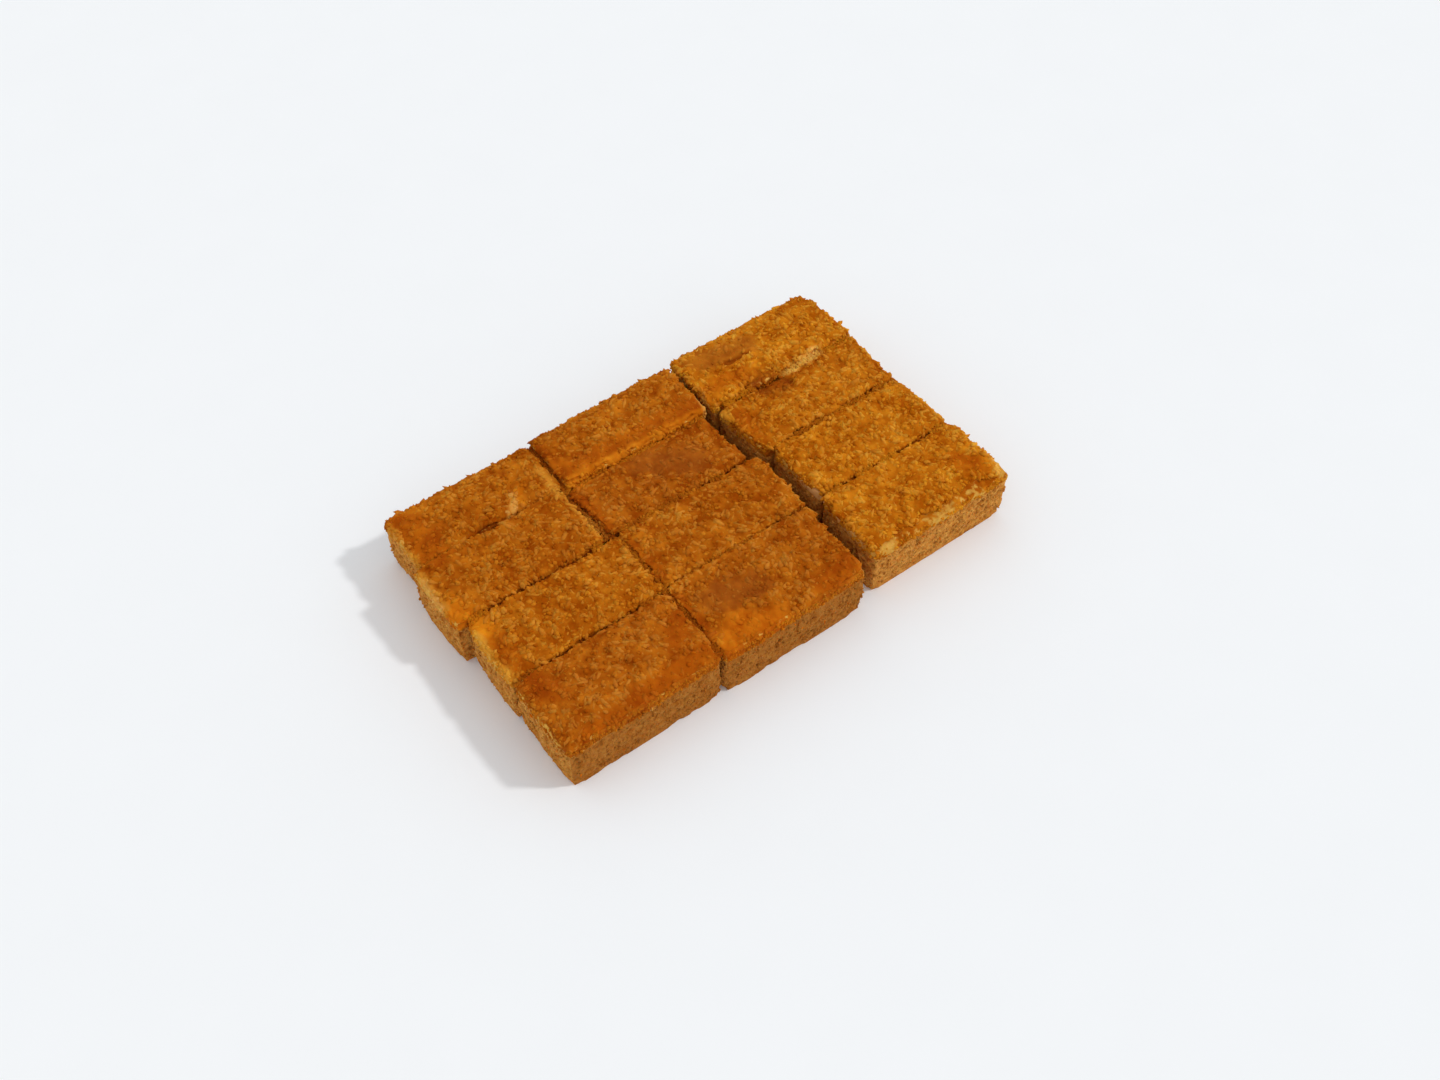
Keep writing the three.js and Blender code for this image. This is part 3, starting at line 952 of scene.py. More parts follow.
def cream_material():
    """Whipped cream: pale gold, soft and faintly glossy, under smears of crumb."""
    material, tree, coordinates = new_material("whipped_cream")
    smears = add_node(
        tree, "ShaderNodeTexNoise",
        {"Vector": coordinates, "Scale": 1 / SMEAR_SIZE, "Detail": 4.0, "Roughness": 0.6},
    )
    depth = add_node(tree, "ShaderNodeMapRange", {"Value": smears, **CREAM_TONES})
    cream = add_node(
        tree, "ShaderNodeMix", {"Factor": depth, 6: linear(CREAM_PALE), 7: linear(CREAM_DEEP)},
        data_type="RGBA",
    )
    wiped = add_node(tree, "ShaderNodeAttribute", attribute_name="wiped").outputs["Fac"]
    covered = add_node(tree, "ShaderNodeAttribute", attribute_name="covered").outputs["Fac"]
    reach = add_node(
        tree, "ShaderNodeMath", {0: covered, 1: COVER_LIFT, 2: smears}, operation="MULTIPLY_ADD"
    )
    hidden = add_node(
        tree, "ShaderNodeMapRange", {"Value": reach, **SMEAR_EDGE}, interpolation_type="SMOOTHSTEP"
    )
    # The smears take the coat's colour, with painted shade by the height of the stuck grains.
    crumbs = crumb_colour(tree, grain_tone(tree, coordinates), COAT_DARK, COAT_LIGHT)
    for share, colour in ((wiped, linear(CREAM_WIPED)), (hidden, crumbs)):
        cream = add_node(
            tree, "ShaderNodeMix", {"Factor": share, 6: cream.outputs[2], 7: colour}, data_type="RGBA"
        )
    bump = add_node(tree, "ShaderNodeBump", {"Height": smears, **SMEAR_BUMP})
    end_material(tree, {"Base Color": cream.outputs[2], "Normal": bump, **CREAM_FINISH})
    return material


CREAM = cream_material()
print("cream material:", len(CREAM.node_tree.nodes), "nodes")

# %% [markdown]
# ## The cream layers of the bars
#
# How bare the cream is depends on the side: little where crumbs were patted over it, more on a knife cut,
# most on the ends and where a front tore. Some strokes go on down over the side, so the cream, and later
# the crumbs in the cuts, store those as well.

# %% Strokes on the sides
SIDE_STROKES = ("moist", "worn", "hollow", "golden", "scuffed")


def store_side_strokes(mesh, hollow=0.0):
    """Keeps the share of each stroke that goes on below the coat, and a least share of painted shade."""
    for kind in SIDE_STROKES:
        reach = stroke_reach(point_values(mesh, "co")[:, :2], STROKES[kind])
        # A strip's own share of painted shade is the least its crumbs take of the hollow's colour.
        least = hollow if kind == "hollow" else 0.0
        store_points(mesh, kind, np.maximum(np.clip(STROKE_OUTER - reach, 0, 1), least))


print("strokes that go on over the side:", len(SIDE_STROKES))

# %% Make the cream layers
CREAM_CELL = 0.55 * MM
# How bare the cream is on the ends of the bars and on plain knife cuts.
END_BARENESS = 0.75
CUT_BARENESS = 0.4
WIPED_STROKES = (
    ((35.5, 20.0), (36.0, 10.0), 3.0),
    ((36.5, -15.0), (36.5, -26.0), 3.0),
    ((37.0, -33.0), (37.5, -49.0), 3.0),
)
creams = new_collection("cream_layers")
for bar in BARS:
    layer = fine_skin(f"cream_{bar}", f"cream_layer_{bar}", CREAM_CELL, creams)
    places = point_values(layer.data, "co")
    normals = point_values(layer.data, "normal")
    torn = torn_share(bar, places)
    patted = side_share(normals, patted_directions(bar))
    bare = np.maximum(END_BARENESS * side_share(normals, ENDS), CUT_BARENESS * (1 - patted))
    wiped = np.clip(STROKE_OUTER - stroke_reach(places[:, :2], WIPED_STROKES), 0, 1)
    covered = 1 - np.maximum.reduce((bare, wiped, torn))
    store_points(layer.data, "wiped", wiped)
    store_points(layer.data, "bare", torn)
    store_points(layer.data, "covered", covered)
    store_points(layer.data, "stuck", np.sqrt(covered) * shown_share(bar, normals))
    store_side_strokes(layer.data)
    store_points(layer.data, "border", 1.0)
    store_points(layer.data, "toast", bar_toast(bar))
    run_tree(layer, CREAM_RELIEF, {**CREAM_SIZES, "Material": CREAM})
    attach(layer, "root")
    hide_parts(f"cream_{bar}")

# %% [markdown]
# ## The sponge
#
# Cut carrot sponge is open: uneven pores where gas was, smaller pinholes between them, and a crumb that
# the knife tears. The slab's outer sides met the hot tin and are closed, browner and calmer. The tree
# roughens the sides with a noise and pits them with two sizes of cells, of which only some are holes. The
# noise also bends the places at which the cells are read, so that no pore is a neat round dot. The
# underside stays flat, because the cake stands on it.

# %% Bent places


def bent_places(tree, place, noise, reach):
    """Places that a noise pushes about, so that the cells read there are uneven."""
    push = add_node(
        tree, "ShaderNodeVectorMath", {0: noise.outputs["Color"], 1: (MIDDLE,) * 3}, operation="SUBTRACT"
    )
    push = add_node(tree, "ShaderNodeVectorMath", {0: push, "Scale": reach}, operation="SCALE")
    return add_node(tree, "ShaderNodeVectorMath", {0: place, 1: push}, operation="ADD")


print("places are bent to both sides of a noise's", MIDDLE)

# %% Relief tree of the sponge
SPONGE_SIZES = {
    "Tear size": 4.0 * MM, "Tear height": 1.4 * MM,
    "Pore size": 2.8 * MM, "Pore depth": 0.9 * MM,
    "Pinhole size": 1.6 * MM, "Pinhole depth": 0.5 * MM, "Bend": 2.5 * MM, **LAYER_SIZES,
}
# How level a face may lie for relief to begin, and how level it is where it counts wholly as a side.
SPONGE_SIDE = {"From Min": 0.85, "From Max": 0.45}
# How much of the relief a baked side keeps, and which share of the cells is a hole.
CRUST_RELIEF = 0.75
HOLE_SHARE = 0.45
# A hole's wall, from its rim in to its floor.
HOLE_WALL = {"From Min": 0.5, "From Max": 0.15}


def sponge_relief_tree():
    """Tears, pores and pinholes on the sides of a sponge, fewer where it was baked against the tin."""
    tree, given = new_tree("sponge_relief", SPONGE_SIZES)
    place, normal, facing = surface(tree)
    level = add_node(tree, "ShaderNodeMath", {0: facing}, operation="ABSOLUTE")
    side = add_node(tree, "ShaderNodeMapRange", {"Value": level, **SPONGE_SIDE})
    baked = add_node(tree, "GeometryNodeInputNamedAttribute", {"Name": "baked"}, data_type="FLOAT")
    open_share = add_node(
        tree, "ShaderNodeMapRange", {"Value": baked, "To Min": 1.0, "To Max": CRUST_RELIEF}
    )
    open_share = add_node(tree, "ShaderNodeMath", {0: side, 1: open_share}, operation="MULTIPLY")

    tear_scale = add_node(tree, "ShaderNodeMath", {0: 1.0, 1: given["Tear size"]}, operation="DIVIDE")
    tears = add_node(tree, "ShaderNodeTexNoise", {"Vector": place, "Scale": tear_scale, "Detail": 4.0})
    bent = bent_places(tree, place, tears, given["Bend"])
    tears = add_node(tree, "ShaderNodeMath", {0: tears, 1: MIDDLE}, operation="SUBTRACT")
    relief = add_node(tree, "ShaderNodeMath", {0: tears, 1: given["Tear height"]}, operation="MULTIPLY")
    holes = 0.0
    for label in ("Pore", "Pinhole"):
        scale = add_node(tree, "ShaderNodeMath", {0: 1.0, 1: given[label + " size"]}, operation="DIVIDE")
        cells = add_node(tree, "ShaderNodeTexVoronoi", {"Vector": bent, "Scale": scale})
        drawn = add_node(tree, "FunctionNodeSeparateColor", {0: cells.outputs["Color"]})
        chosen = add_node(tree, "ShaderNodeMath", {0: drawn, 1: HOLE_SHARE}, operation="LESS_THAN")
        pit = add_node(
            tree, "ShaderNodeMapRange", {"Value": cells, **HOLE_WALL}, interpolation_type="SMOOTHSTEP"
        )
        pit = add_node(tree, "ShaderNodeMath", {0: pit, 1: chosen}, operation="MULTIPLY")
        depth = add_node(tree, "ShaderNodeMath", {0: pit, 1: given[label + " depth"]}, operation="MULTIPLY")
        relief = add_node(tree, "ShaderNodeMath", {0: relief, 1: depth}, operation="SUBTRACT")
        holes = add_node(tree, "ShaderNodeMath", {0: holes, 1: pit}, operation="MAXIMUM")
    holes, relief = (
        add_node(tree, "ShaderNodeMath", {0: value, 1: open_share}, operation="MULTIPLY")
        for value in (holes, relief)
    )

    raised = add_node(tree, "ShaderNodeVectorMath", {0: normal, "Scale": relief}, operation="SCALE")
    top = add_node(tree, "ShaderNodeMath", {0: facing, 1: 0.0}, operation="MAXIMUM")
    moves = (raised, layer_swell(tree, top, given), layer_wave(tree, place, given))
    # The share of hole darkens the sponge's colour in the material, as painted shade.
    end_relief(tree, given, {"hole": holes}, moves)
    return tree


SPONGE_RELIEF = sponge_relief_tree()
print("sponge relief:", len(SPONGE_RELIEF.nodes), "nodes")

# %% [markdown]
# ## The sponge's fine pores
#
# Pores too fine for the mesh are cells again, read at bent places, which darken the colour as painted
# shade and dent it by a bump. They are drawn as the share of pore at each place, so that both can use it.

# %% Fine pores
BEND_SIZE, BEND_REACH = 1.6 * MM, 1.4 * MM
FINE_PORE_SIZES = (1.5 * MM, 0.8 * MM)
FINE_PORE_WALL = {"From Min": 0.5, "From Max": 0.1}


def fine_pores(tree, coordinates):
    """The share of fine pores, most in the middle of bent cells, where shade is painted and the bump dents.
    """
    bend = add_node(tree, "ShaderNodeTexNoise", {"Vector": coordinates, "Scale": 1 / BEND_SIZE})
    bent = bent_places(tree, coordinates, bend, BEND_REACH)
    pores = 0.0
    for size in FINE_PORE_SIZES:
        cells = add_node(tree, "ShaderNodeTexVoronoi", {"Vector": bent, "Scale": 1 / size})
        drawn = add_node(tree, "ShaderNodeSeparateColor", {0: cells.outputs["Color"]})
        pit = add_node(
            tree, "ShaderNodeMapRange", {"Value": cells, **FINE_PORE_WALL}, interpolation_type="SMOOTHSTEP"
        )
        pit = add_node(tree, "ShaderNodeMath", {0: pit, 1: drawn}, operation="MULTIPLY")
        pores = add_node(tree, "ShaderNodeMath", {0: pores, 1: pit}, operation="MAXIMUM")
    return pores


print("fine pores in mm:", [round(size / MM, 1) for size in FINE_PORE_SIZES])

# %% [markdown]
# ## The sponge's material
#
# Carrot sponge is moist and matt, an orange tan from the carrot and brown sugar in it. Its crumb is
# mottled, grated carrot gives brighter patches, and the baked sides are browner. The pores, fine ones and
# modelled holes alike, get painted shade darker than all of these. So each is mixed over the ones before it.
# All of these patterns sit on Object coordinates, in sizes taken from real sponge.

# %% Sponge material
MOTTLE_SIZE = 3.0 * MM
CARROT_SIZE = 2.2 * MM
# The part of a noise that makes the mottle, and the part of another that is carrot.
MOTTLE_TONES = {"From Min": 0.3, "From Max": 0.7}
CARROT_EDGE = {"From Min": 0.6, "From Max": 0.68, "To Max": 0.7}
# How strongly crust colours the crumb, and how strongly the pores' painted shade darkens it.
CRUST_TONE, PORE_SHADE = 0.6, 0.6
PORE_BUMP = {"Strength": 0.8, "Distance": 0.5 * MM}
SPONGE_DARK, SPONGE_LIGHT, SPONGE_CARROT = "#B4681A", "#E0A04A", "#D06C12"
# The pore colour is painted shade, for the dark inside holes.
SPONGE_CRUST, SPONGE_PORE_SHADE = "#8E4C0C", "#74400C"
SPONGE_FINISH = {"Roughness": 0.85, "Specular IOR Level": 0.08, **SOFT_LIGHT}


def sponge_material():
    """Moist carrot sponge: matt orange tan, mottled, shade painted in its pores, browner where it was baked.
    """
    material, tree, coordinates = new_material("carrot_sponge")
    mottle = add_node(
        tree, "ShaderNodeTexNoise",
        {"Vector": coordinates, "Scale": 1 / MOTTLE_SIZE, "Detail": 5.0, "Roughness": 0.65},
    )
    mottle = add_node(tree, "ShaderNodeMapRange", {"Value": mottle, **MOTTLE_TONES})
    crumb = add_node(
        tree, "ShaderNodeMix", {"Factor": mottle, 6: linear(SPONGE_DARK), 7: linear(SPONGE_LIGHT)},
        data_type="RGBA",
    )
    carrot = add_node(
        tree, "ShaderNodeTexNoise", {"Vector": coordinates, "Scale": 1 / CARROT_SIZE, "Distortion": 1.5}
    )
    carrot = add_node(tree, "ShaderNodeMapRange", {"Value": carrot, **CARROT_EDGE})
    baked = add_node(tree, "ShaderNodeAttribute", attribute_name="baked").outputs["Fac"]
    crust = add_node(tree, "ShaderNodeMath", {0: baked, 1: CRUST_TONE}, operation="MULTIPLY")
    hole = add_node(tree, "ShaderNodeAttribute", attribute_name="hole").outputs["Fac"]
    pores = fine_pores(tree, coordinates)
    # Painted shade: fine pores and modelled holes darken the crumb.
    dark = add_node(tree, "ShaderNodeMath", {0: pores, 1: hole}, operation="MAXIMUM")
    dark = add_node(tree, "ShaderNodeMath", {0: dark, 1: PORE_SHADE}, operation="MULTIPLY")
    for share, colour in ((carrot, SPONGE_CARROT), (crust, SPONGE_CRUST), (dark, SPONGE_PORE_SHADE)):
        crumb = add_node(
            tree, "ShaderNodeMix", {"Factor": share, 6: crumb.outputs[2], 7: linear(colour)},
            data_type="RGBA",
        )
    walls = add_node(tree, "ShaderNodeMath", {0: mottle, 1: pores}, operation="SUBTRACT")
    bump = add_node(tree, "ShaderNodeBump", {"Height": walls, **PORE_BUMP})
    end_material(tree, {"Base Color": crumb.outputs[2], "Normal": bump, **SPONGE_FINISH})
    return material


SPONGE = sponge_material()
print("sponge material:", len(SPONGE.node_tree.nodes), "nodes")

# %% [markdown]
# ## The sponges of the bars
#
# The same loop as for the other layers dresses the sponge. The sides over which crumbs were patted are the
# browner ones, so the same share says where it is baked. The border with the cream is felt only near the
# top.

# %% Make the sponges
SPONGE_CELL = 0.6 * MM
# How far down from the sponge's top the wandering border is felt.
SPONGE_WAVE_REACH = 5 * MM
sponges = new_collection("sponges")
for bar in BARS:
    sponge = fine_skin(f"sponge_{bar}", f"sponge_block_{bar}", SPONGE_CELL, sponges)
    normals = point_values(sponge.data, "normal")
    height = point_values(sponge.data, "co")[:, 2]
    store_points(sponge.data, "baked", side_share(normals, patted_directions(bar)))
    store_points(sponge.data, "shown", shown_share(bar, normals))
    store_points(sponge.data, "border", np.clip(1 - (height.max() - height) / SPONGE_WAVE_REACH, 0, 1))
    run_tree(sponge, SPONGE_RELIEF, {**SPONGE_SIZES, "Material": SPONGE})
    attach(sponge, "root")
    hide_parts(f"sponge_{bar}")

# %% [markdown]
# ## Loose crumbs: their places
#
# On top of the pressed coat lie thousands of single crumbs, each a little angular lump. Placing them by
# hand is out of the question, and particles would be lost when the model leaves Blender, so one tree
# scatters them. It reads the finished layers and spreads points over slopes between two limits, fewer
# where a stored attribute says so, and in patches where that is asked for. Each point then sinks a little,
# so that no crumb hovers.

# %% Places of the bits
CM2_PER_M2 = 1e4
# The part of the patches' noise that goes from no bits to all of them.
PATCH_EDGE = {"From Min": 0.45, "From Max": 0.55}


def bit_places(tree, given):
    """Points spread over a layer from a fixed seed, and how its surface is turned at each."""
    layer = add_node(tree, "GeometryNodeCollectionInfo", {"Collection": given["Layer"]})
    layer = add_node(tree, "GeometryNodeRealizeInstances", {"Geometry": layer})
    place, _, facing = surface(tree)
    height = add_node(tree, "ShaderNodeSeparateXYZ", {0: place}).outputs["Z"]
    chosen = add_node(tree, "ShaderNodeMath", {0: height, 1: given["Lowest"]}, operation="GREATER_THAN")
    for limit, side in (("Steepest", "GREATER_THAN"), ("Flattest", "LESS_THAN")):
        within = add_node(tree, "ShaderNodeMath", {0: facing, 1: given[limit]}, operation=side)
        chosen = add_node(tree, "ShaderNodeMath", {0: chosen, 1: within}, operation="MULTIPLY")

    kept = add_node(tree, "GeometryNodeInputNamedAttribute", {"Name": given["Kept by"]}, data_type="FLOAT")
    patch_scale = add_node(tree, "ShaderNodeMath", {0: 1.0, 1: given["Patch size"]}, operation="DIVIDE")
    patches = add_node(tree, "ShaderNodeTexNoise", {"Vector": place, "Scale": patch_scale})
    patches = add_node(tree, "ShaderNodeMapRange", {"Value": patches, **PATCH_EDGE})
    even = add_node(tree, "ShaderNodeMath", {0: 1.0, 1: given["Patchiness"]}, operation="SUBTRACT")
    patches = add_node(tree, "ShaderNodeMath", {0: patches, 1: even}, operation="MAXIMUM")
    density = CM2_PER_M2
    for share in (given["Per square centimetre"], kept, patches):
        density = add_node(tree, "ShaderNodeMath", {0: density, 1: share}, operation="MULTIPLY")
    spots = add_node(
        tree, "GeometryNodeDistributePointsOnFaces",
        {"Mesh": layer, "Selection": chosen, "Density": density, "Seed": given["Seed"]},
    )
    depth = add_node(tree, "ShaderNodeMath", {0: given["Sink"], 1: -1.0}, operation="MULTIPLY")
    sunk = add_node(
        tree, "ShaderNodeVectorMath", {0: spots.outputs["Normal"], "Scale": depth}, operation="SCALE"
    )
    points = add_node(tree, "GeometryNodeSetPosition", {"Geometry": spots, "Offset": sunk})
    return points, spots.outputs["Rotation"]


print("square centimetres in a square metre:", round(CM2_PER_M2))

# %% [markdown]
# ## Loose crumbs: their forms
#
# A crumb is so small that twenty faces are enough, but they must not all be alike. There are three lumps,
# each a twenty-sided ball pushed out of round by a noise read at another place.

# %% Three knobbly lumps
LUMP_KINDS = 3
# A ball one unit wide, which each bit then scales to its size.
LUMP_BALL = {"Radius": 0.5, "Subdivisions": 1}
# How many knobs of the noise fit on a ball, and how far apart it is read for each kind.
KNOB_SCALE = 2.3
LUMP_STEP = 7.3
# How far the noise draws a corner in or pushes it out.
KNOBS = {"From Min": 0.25, "From Max": 0.75, "To Min": 0.45, "To Max": 1.5}


def knobbly_lumps(tree):
    """Three uneven lumps to choose from, as instances."""
    lumps = add_node(tree, "GeometryNodeJoinGeometry")
    for kind in range(LUMP_KINDS):
        ball = add_node(tree, "GeometryNodeMeshIcoSphere", LUMP_BALL)
        corner = add_node(tree, "GeometryNodeInputPosition")
        elsewhere = add_node(
            tree, "ShaderNodeVectorMath", {0: corner, 1: (LUMP_STEP * kind, 0.0, 0.0)}, operation="ADD"
        )
        knobs = add_node(tree, "ShaderNodeTexNoise", {"Vector": elsewhere, "Scale": KNOB_SCALE})
        reach = add_node(tree, "ShaderNodeMapRange", {"Value": knobs, **KNOBS})
        knobbly = add_node(tree, "ShaderNodeVectorMath", {0: corner, "Scale": reach}, operation="SCALE")
        lump = add_node(tree, "GeometryNodeSetPosition", {"Geometry": ball, "Position": knobbly})
        lump = add_node(tree, "GeometryNodeGeometryToInstance", {0: lump})
        tree.links.new(lump.outputs[0], lumps.inputs[0])
    return lumps


print("kinds of lump:", LUMP_KINDS)

# %% [markdown]
# ## Loose crumbs: the scatter tree
#
# The tree puts a lump on each point, turned, tilted and sized at random from a fixed seed. Every bit
# stores a random shade, and keeps the toast of its bar. In a Random Value node the inputs 0 and 1 are the
# bounds of a vector, 2 and 3 those of a number, and output 1 is the number.

# %% Scatter tree
BIT_NUMBERS = (
    "Per square centimetre", "Smallest", "Largest", "Tilt", "Sink",
    "Steepest", "Flattest", "Lowest", "Patch size", "Patchiness",
)
BIT_OTHERS = {"Layer": "Collection", "Kept by": "String", "Stretch": "Vector", "Seed": "Int"}


def bit_turn(tree, rotation, given):
    """The turn of each bit: that of the surface, then a random one about its normal, with some tilt."""
    tilt = given["Tilt"]
    tilt_back = add_node(tree, "ShaderNodeMath", {0: tilt, 1: -1.0}, operation="MULTIPLY")
    least = add_node(tree, "ShaderNodeCombineXYZ", {"X": tilt_back, "Y": tilt_back, "Z": -math.pi})
    most = add_node(tree, "ShaderNodeCombineXYZ", {"X": tilt, "Y": tilt, "Z": math.pi})
    turn = add_node(
        tree, "FunctionNodeRandomValue", {0: least, 1: most, "Seed": given["Seed"]}, data_type="FLOAT_VECTOR"
    )
    turn = add_node(tree, "FunctionNodeEulerToRotation", {0: turn})
    return add_node(tree, "FunctionNodeRotateRotation", {0: rotation, 1: turn}, rotation_space="LOCAL")


def scatter_tree():
    """Small lumps spread over a layer, of random size, turn and shade."""
    tree, given = new_tree("scattered_bits", BIT_NUMBERS, BIT_OTHERS)
    points, rotation = bit_places(tree, given)
    size = add_node(
        tree, "FunctionNodeRandomValue", {2: given["Smallest"], 3: given["Largest"], "Seed": given["Seed"]},
        data_type="FLOAT",
    )
    size = add_node(
        tree, "ShaderNodeVectorMath", {0: given["Stretch"], "Scale": size.outputs[1]}, operation="SCALE"
    )
    bits = add_node(tree, "GeometryNodeInstanceOnPoints", {
        "Points": points, "Instance": knobbly_lumps(tree), "Pick Instance": True,
        "Rotation": bit_turn(tree, rotation, given), "Scale": size,
    })
    next_seed = add_node(tree, "FunctionNodeIntegerMath", {0: given["Seed"], 1: 1}, operation="ADD")
    shade = add_node(tree, "FunctionNodeRandomValue", {2: 0.0, 3: 1.0, "Seed": next_seed}, data_type="FLOAT")
    bits = add_node(
        tree, "GeometryNodeStoreNamedAttribute",
        {"Geometry": bits, "Name": "shade", "Value": shade.outputs[1]}, data_type="FLOAT", domain="INSTANCE",
    )
    end_tree(tree, bits, given["Material"])
    return tree


SCATTER = scatter_tree()
print("scatter tree:", len(SCATTER.nodes), "nodes")

# %% [markdown]
# ## Crumb materials
#
# Crumbs come in a few kinds: golden ones, darker ones that caught more heat, fine ones, and strands
# rolled between the fingers when the crumbs were rubbed. Each kind is one piece with a material of its
# own, in which the stored shade runs from the darkest to the lightest crumb of that kind. The clouds, the
# strokes and the toast go through them as through the coat, so they belong to what they lie on.

# %% Crumb material
# How far its own shade moves the tone of a crumb, and the tone of the darkest one.
SHADE_TONE = 0.42
DARKEST_TONE = 0.25


def crumb_material(name, dark, light):
    """Single dry crumbs: matt, each of its own shade."""
    material, tree, coordinates = new_material(name)
    shade = add_node(tree, "ShaderNodeAttribute", attribute_name="shade").outputs["Fac"]
    tone = cloud_tone(tree, coordinates)
    tone = add_node(tree, "ShaderNodeMath", {0: shade, 1: SHADE_TONE, 2: tone}, operation="MULTIPLY_ADD")
    tone = add_node(tree, "ShaderNodeMath", {0: tone, 1: DARKEST_TONE}, operation="ADD", use_clamp=True)
    end_material(tree, {"Base Color": crumb_colour(tree, tone, dark, light), **CRUMB_FINISH})
    return material


print("the shade of a crumb moves its tone by", SHADE_TONE)

# %% [markdown]
# ## Crumbs in the knife cuts
#
# A blade drawn through crumbs does not leave a clean slot: crumbs fall into it, and in places they heap up
# and close it. The scatter needs a surface to put those on, so a helper strip is laid in each cut, and a
# second one higher up along each closed stretch. Both follow the rims of the coats beside them. The deeper
# a strip lies, the more of a hollow's dark red-brown its crumbs take, as painted shade. The long cut
# between the left and the middle column gets strips too, deepest in the second row. They all go once the
# crumbs lie on them.

# %% Rims beside the cuts
STRIP_STEP = 2 * MM
# How much of a top counts as its rim.
RIM_WIDTH = 1.5 * MM
coat_places = {bar: point_values(coats.objects[f"crumb_coat_{bar}"].data, "co") for bar in BARS}
for column in COLUMNS:
    coat_places[column] = np.concatenate([coat_places[f"{column}_{row}"] for row in ROWS])


def rim_at(name, axis, way, spot):
    """Where the rim of a bar or a column lies at a spot along a cut, and how high it stands there."""
    places = coat_places[name]
    near = places[np.abs(places[:, axis] - spot) < STRIP_STEP]
    reach = way * near[:, 1 - axis]
    return way * reach.max(), near[reach > reach.max() - RIM_WIDTH, 2].max()


print("bars and columns with known rims:", len(coat_places))

# %% A strip along a cut
# How far a strip reaches into the bars beside it.
STRIP_OVERLAP = 0.6 * MM
# How far below the lower rim, in millimetres, a strip lies in an open cut.
# At that depth a strip's crumbs take the hollow's painted shade in full.
OPEN_DEPTH = 2.2
strip_places, strip_faces, strip_toast, strip_depth_shade = [], [], [], []


def lay_strip(bars, axis, start, end, depth):
    """A strip of short faces along a cut, from rim to rim of two bars, some way below the lower rim."""
    count = math.ceil((end - start) / STRIP_STEP)
    names = bars if axis == 0 else [bar.split("_")[0] for bar in bars]
    ways = ((-1, 1), (1, -1))[axis]
    for step in range(count + 1):
        corner = len(strip_places)
        spot = start + (end - start) * step / count
        rims = [rim_at(name, axis, way, spot) for name, way in zip(names, ways)]
        height = min(top for edge, top in rims) - depth * MM
        for (edge, top), way in zip(rims, ways):
            across = edge - way * STRIP_OVERLAP
            strip_places.append((spot, across, height) if axis == 0 else (across, spot, height))
        strip_toast.extend([sum(bar_toast(bar) for bar in bars) / 2] * 2)
        # Painted shade: the deeper a strip lies, the more of a hollow's dark red-brown its crumbs take.
        strip_depth_shade.extend([min(depth / OPEN_DEPTH, 1)] * 2)
        if step < count:
            strip_faces.append((corner, corner + 1, corner + 3, corner + 2))


print("a strip in an open cut lies below the rim by mm:", OPEN_DEPTH)

# %% Lay the strips
# Where crumbs close the cut in front of a bar: how far they lie below the lower rim, and from where to
# where along the slab, all in millimetres.
# Each depth also sets how much of a hollow's painted shade the crumbs of that strip take.
CLOSED_CUTS = {
    "left_1": (0.7, ((-92, -77), (-53, -35))),
    "left_2": (0.5, ((-95, -84), (-42, -35))),
    "left_3": (0.7, ((-91, -84), (-42, -35))),
    "middle_1": (1.2, ((-34, 30),)),
    "middle_2": (0.4, ((-32, 2), (8, 14))),
    "middle_3": (0.9, ((-31, 11), (16, 20))),
    "right_1": (0.3, ((34, 49), (60, 97))),
    "right_2": (1.0, ((35, 96),)),
    "right_3": (0.6, ((37, 44), (51, 58), (62, 69), (86, 95))),
}
# How far the strips between two columns lie below the lower rim, from the back row to the front row.
# Lying deeper, those crumbs also take more painted shade.
COLUMN_CUT_DEPTHS = (1.6, 2.2, 1.2, 1.4)
# How far inside its ends a cut's strip begins and stops.
STRIP_MARGIN = 1.5 * MM
for bar in BARS:
    column, row = bar.split("_")
    own_low, own_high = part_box(f"crumbs_{bar}")
    beside = f"{column}_{int(row) + 1}"
    if beside in BARS:
        next_low, next_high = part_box(f"crumbs_{beside}")
        first = max(own_low.x, next_low.x) + STRIP_MARGIN
        last = min(own_high.x, next_high.x) - STRIP_MARGIN
        lay_strip((bar, beside), 0, first, last, OPEN_DEPTH)
        closed_depth, closed = CLOSED_CUTS[bar]
        for start, end in closed:
            lay_strip((bar, beside), 0, max(start * MM, first), min(end * MM, last), closed_depth)
    if column == "left":
        first = own_low.y + STRIP_MARGIN * (1 if row == "4" else -1)
        last = own_high.y - STRIP_MARGIN * (1 if row == "1" else -1)
        lay_strip((bar, f"middle_{row}"), 1, first, last, COLUMN_CUT_DEPTHS[int(row) - 1])
strip_mesh = bpy.data.meshes.new("cut_strips")
strip_mesh.from_pydata(strip_places, [], strip_faces)
store_points(strip_mesh, "toast", np.array(strip_toast))
store_points(strip_mesh, "loose", 1.0)
store_side_strokes(strip_mesh, np.array(strip_depth_shade))
strip_object = bpy.data.objects.new("cut_strips", strip_mesh)
strips = new_collection("cut_strips")
strips.objects.link(strip_object)
print("faces of the strips in the cuts:", len(strip_faces))

# %% [markdown]
# ## The scatter
#
# Each kind of bit is one run of the scatter tree: loose crumbs and strands on the coats, crumbs in the
# cuts, crumbs that stick to the cream, crumbs of the sponge itself, and the carrot shreds that stand out
# of it where it shows.

# %% Scatter the bits
GRAIN = (1.0, 1.0, 0.6)
STRAND = (1.0, 0.36, 0.34)
SHRED = (1.0, 0.2, 0.16)
# Facings from straight down, -1, to straight up, 1: all but the underside, the sides alone, the tops alone.
ALL_OVER = (-0.3, 1.1)
SIDES = (-0.5, 0.6)
TOPS = (0.5, 1.1)
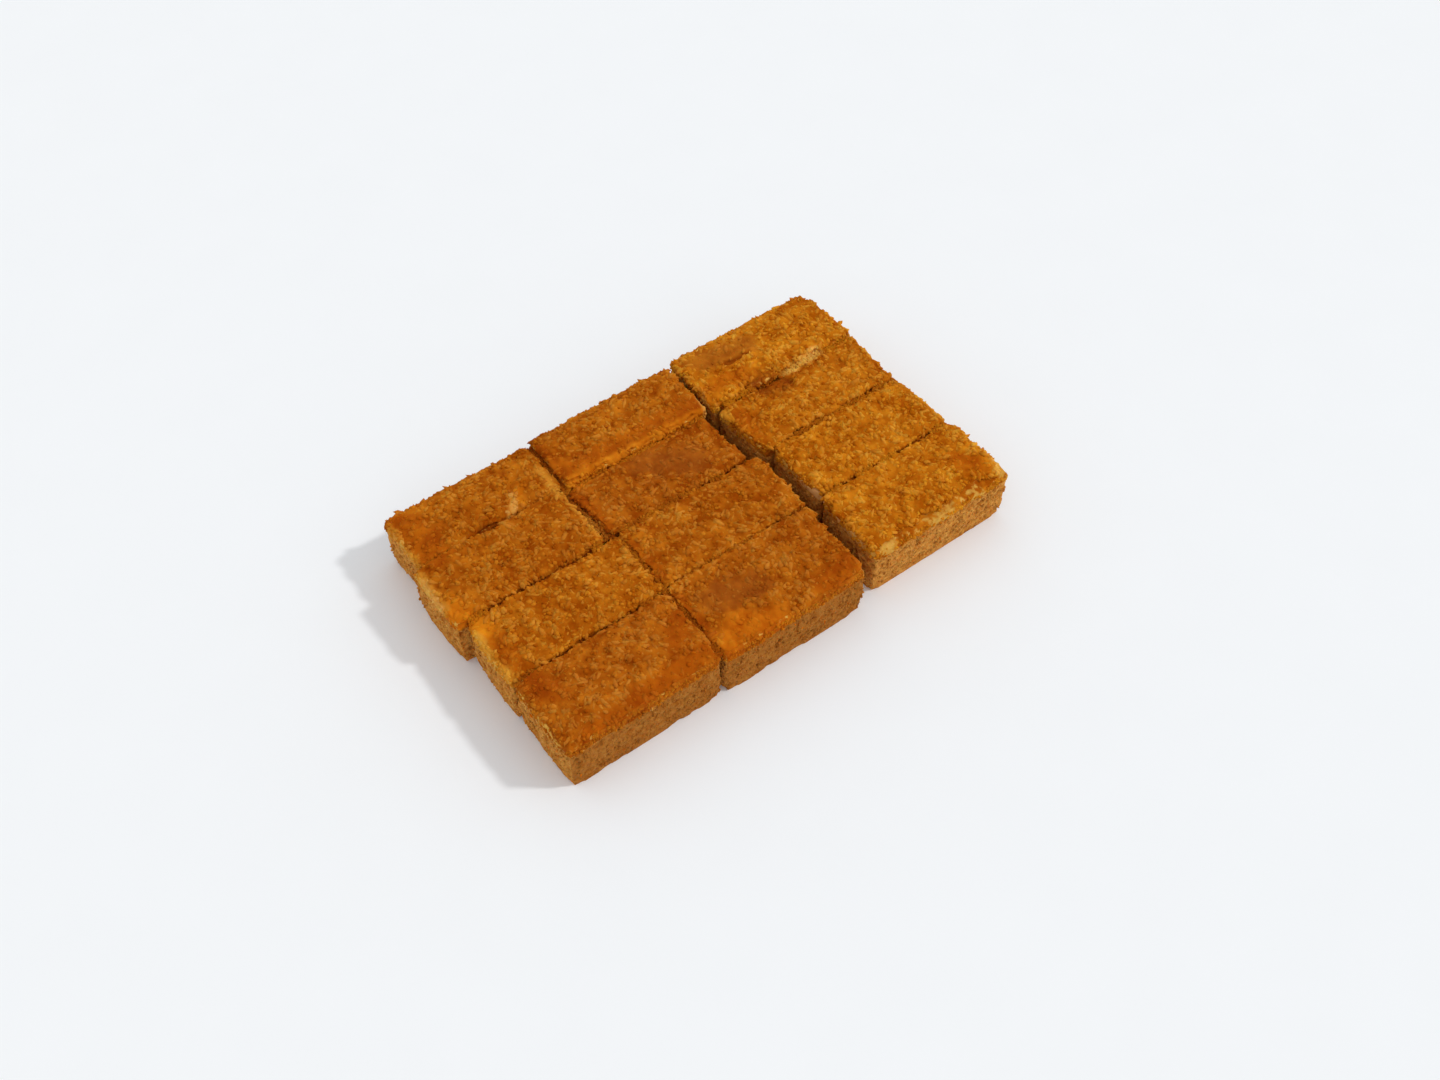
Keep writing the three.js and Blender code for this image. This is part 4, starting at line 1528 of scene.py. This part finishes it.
# Each kind: layer, attribute that keeps it, slopes, how many on a square centimetre, patchiness, smallest
# and largest size in mm, form and tilt.
SCATTERED = {
    "golden_crumbs": (coats, "loose", ALL_OVER, 11, 0.0, 1.2, 2.4, GRAIN, 0.7),
    "toasted_crumbs": (coats, "loose", ALL_OVER, 10, 0.0, 1.0, 2.2, GRAIN, 0.7),
    "fine_crumbs": (coats, "loose", ALL_OVER, 10, 0.0, 0.6, 1.0, GRAIN, 1.2),
    "crumb_strands": (coats, "loose", TOPS, 30, 0.0, 2.6, 5.4, STRAND, 0.25),
    "edge_crumbs": (coats, "loose", SIDES, 60, 0.5, 1.0, 2.2, GRAIN, 1.5),
    "cut_crumbs": (strips, "loose", ALL_OVER, 300, 0.0, 1.0, 2.2, GRAIN, 1.5),
    "stuck_crumbs": (creams, "stuck", SIDES, 150, 0.4, 0.8, 1.9, GRAIN, 1.5),
    "sponge_crumbs": (sponges, "shown", SIDES, 40, 0.3, 0.6, 1.7, GRAIN, 1.5),
    "carrot_shreds": (sponges, "shown", SIDES, 2, 0.0, 2.5, 5.0, SHRED, 0.3),
}
# The darkest and the lightest tone of each kind. What is not named here is made of sponge.
TONES = {
    "golden_crumbs": ("#BA6706", "#E59824"),
    "toasted_crumbs": ("#A25000", "#C8720A"),
    "fine_crumbs": ("#AF5D04", "#E19420"),
    "crumb_strands": ("#B15F04", "#E79E31"),
    "edge_crumbs": ("#AB5B08", "#E59A22"),
    "cut_crumbs": ("#A65606", "#DA8C18"),
    "stuck_crumbs": ("#A75706", "#E1941E"),
    "carrot_shreds": ("#C05606", "#E07A10"),
}
LOWEST_BIT = 2.5 * MM
PATCH_SIZE = 9 * MM
# How deep a bit sits in its layer, as a share of the smallest one of its kind.
BIT_SINK = 0.2
FIRST_SEED, NEXT_SEED = 11, 10
for number, (name, kind) in enumerate(SCATTERED.items()):
    layer, keeper, slopes, count, patchiness, smallest, largest, form, tilt = kind
    bits = bpy.data.objects.new(name, bpy.data.meshes.new(name))
    bpy.context.collection.objects.link(bits)
    run_tree(bits, SCATTER, {
        "Layer": layer, "Kept by": keeper, "Per square centimetre": float(count),
        "Smallest": smallest * MM, "Largest": largest * MM, "Stretch": form, "Tilt": tilt,
        "Steepest": slopes[0], "Flattest": slopes[1], "Lowest": LOWEST_BIT,
        "Patch size": PATCH_SIZE, "Patchiness": patchiness,
        "Sink": BIT_SINK * smallest * MM, "Seed": FIRST_SEED + NEXT_SEED * number,
        "Material": crumb_material(name, *TONES[name]) if name in TONES else SPONGE,
    })
    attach(bits, "root")
    print(name, "triangles:", len(bits.data.polygons))
bpy.data.objects.remove(strip_object)
bpy.data.collections.remove(strips)
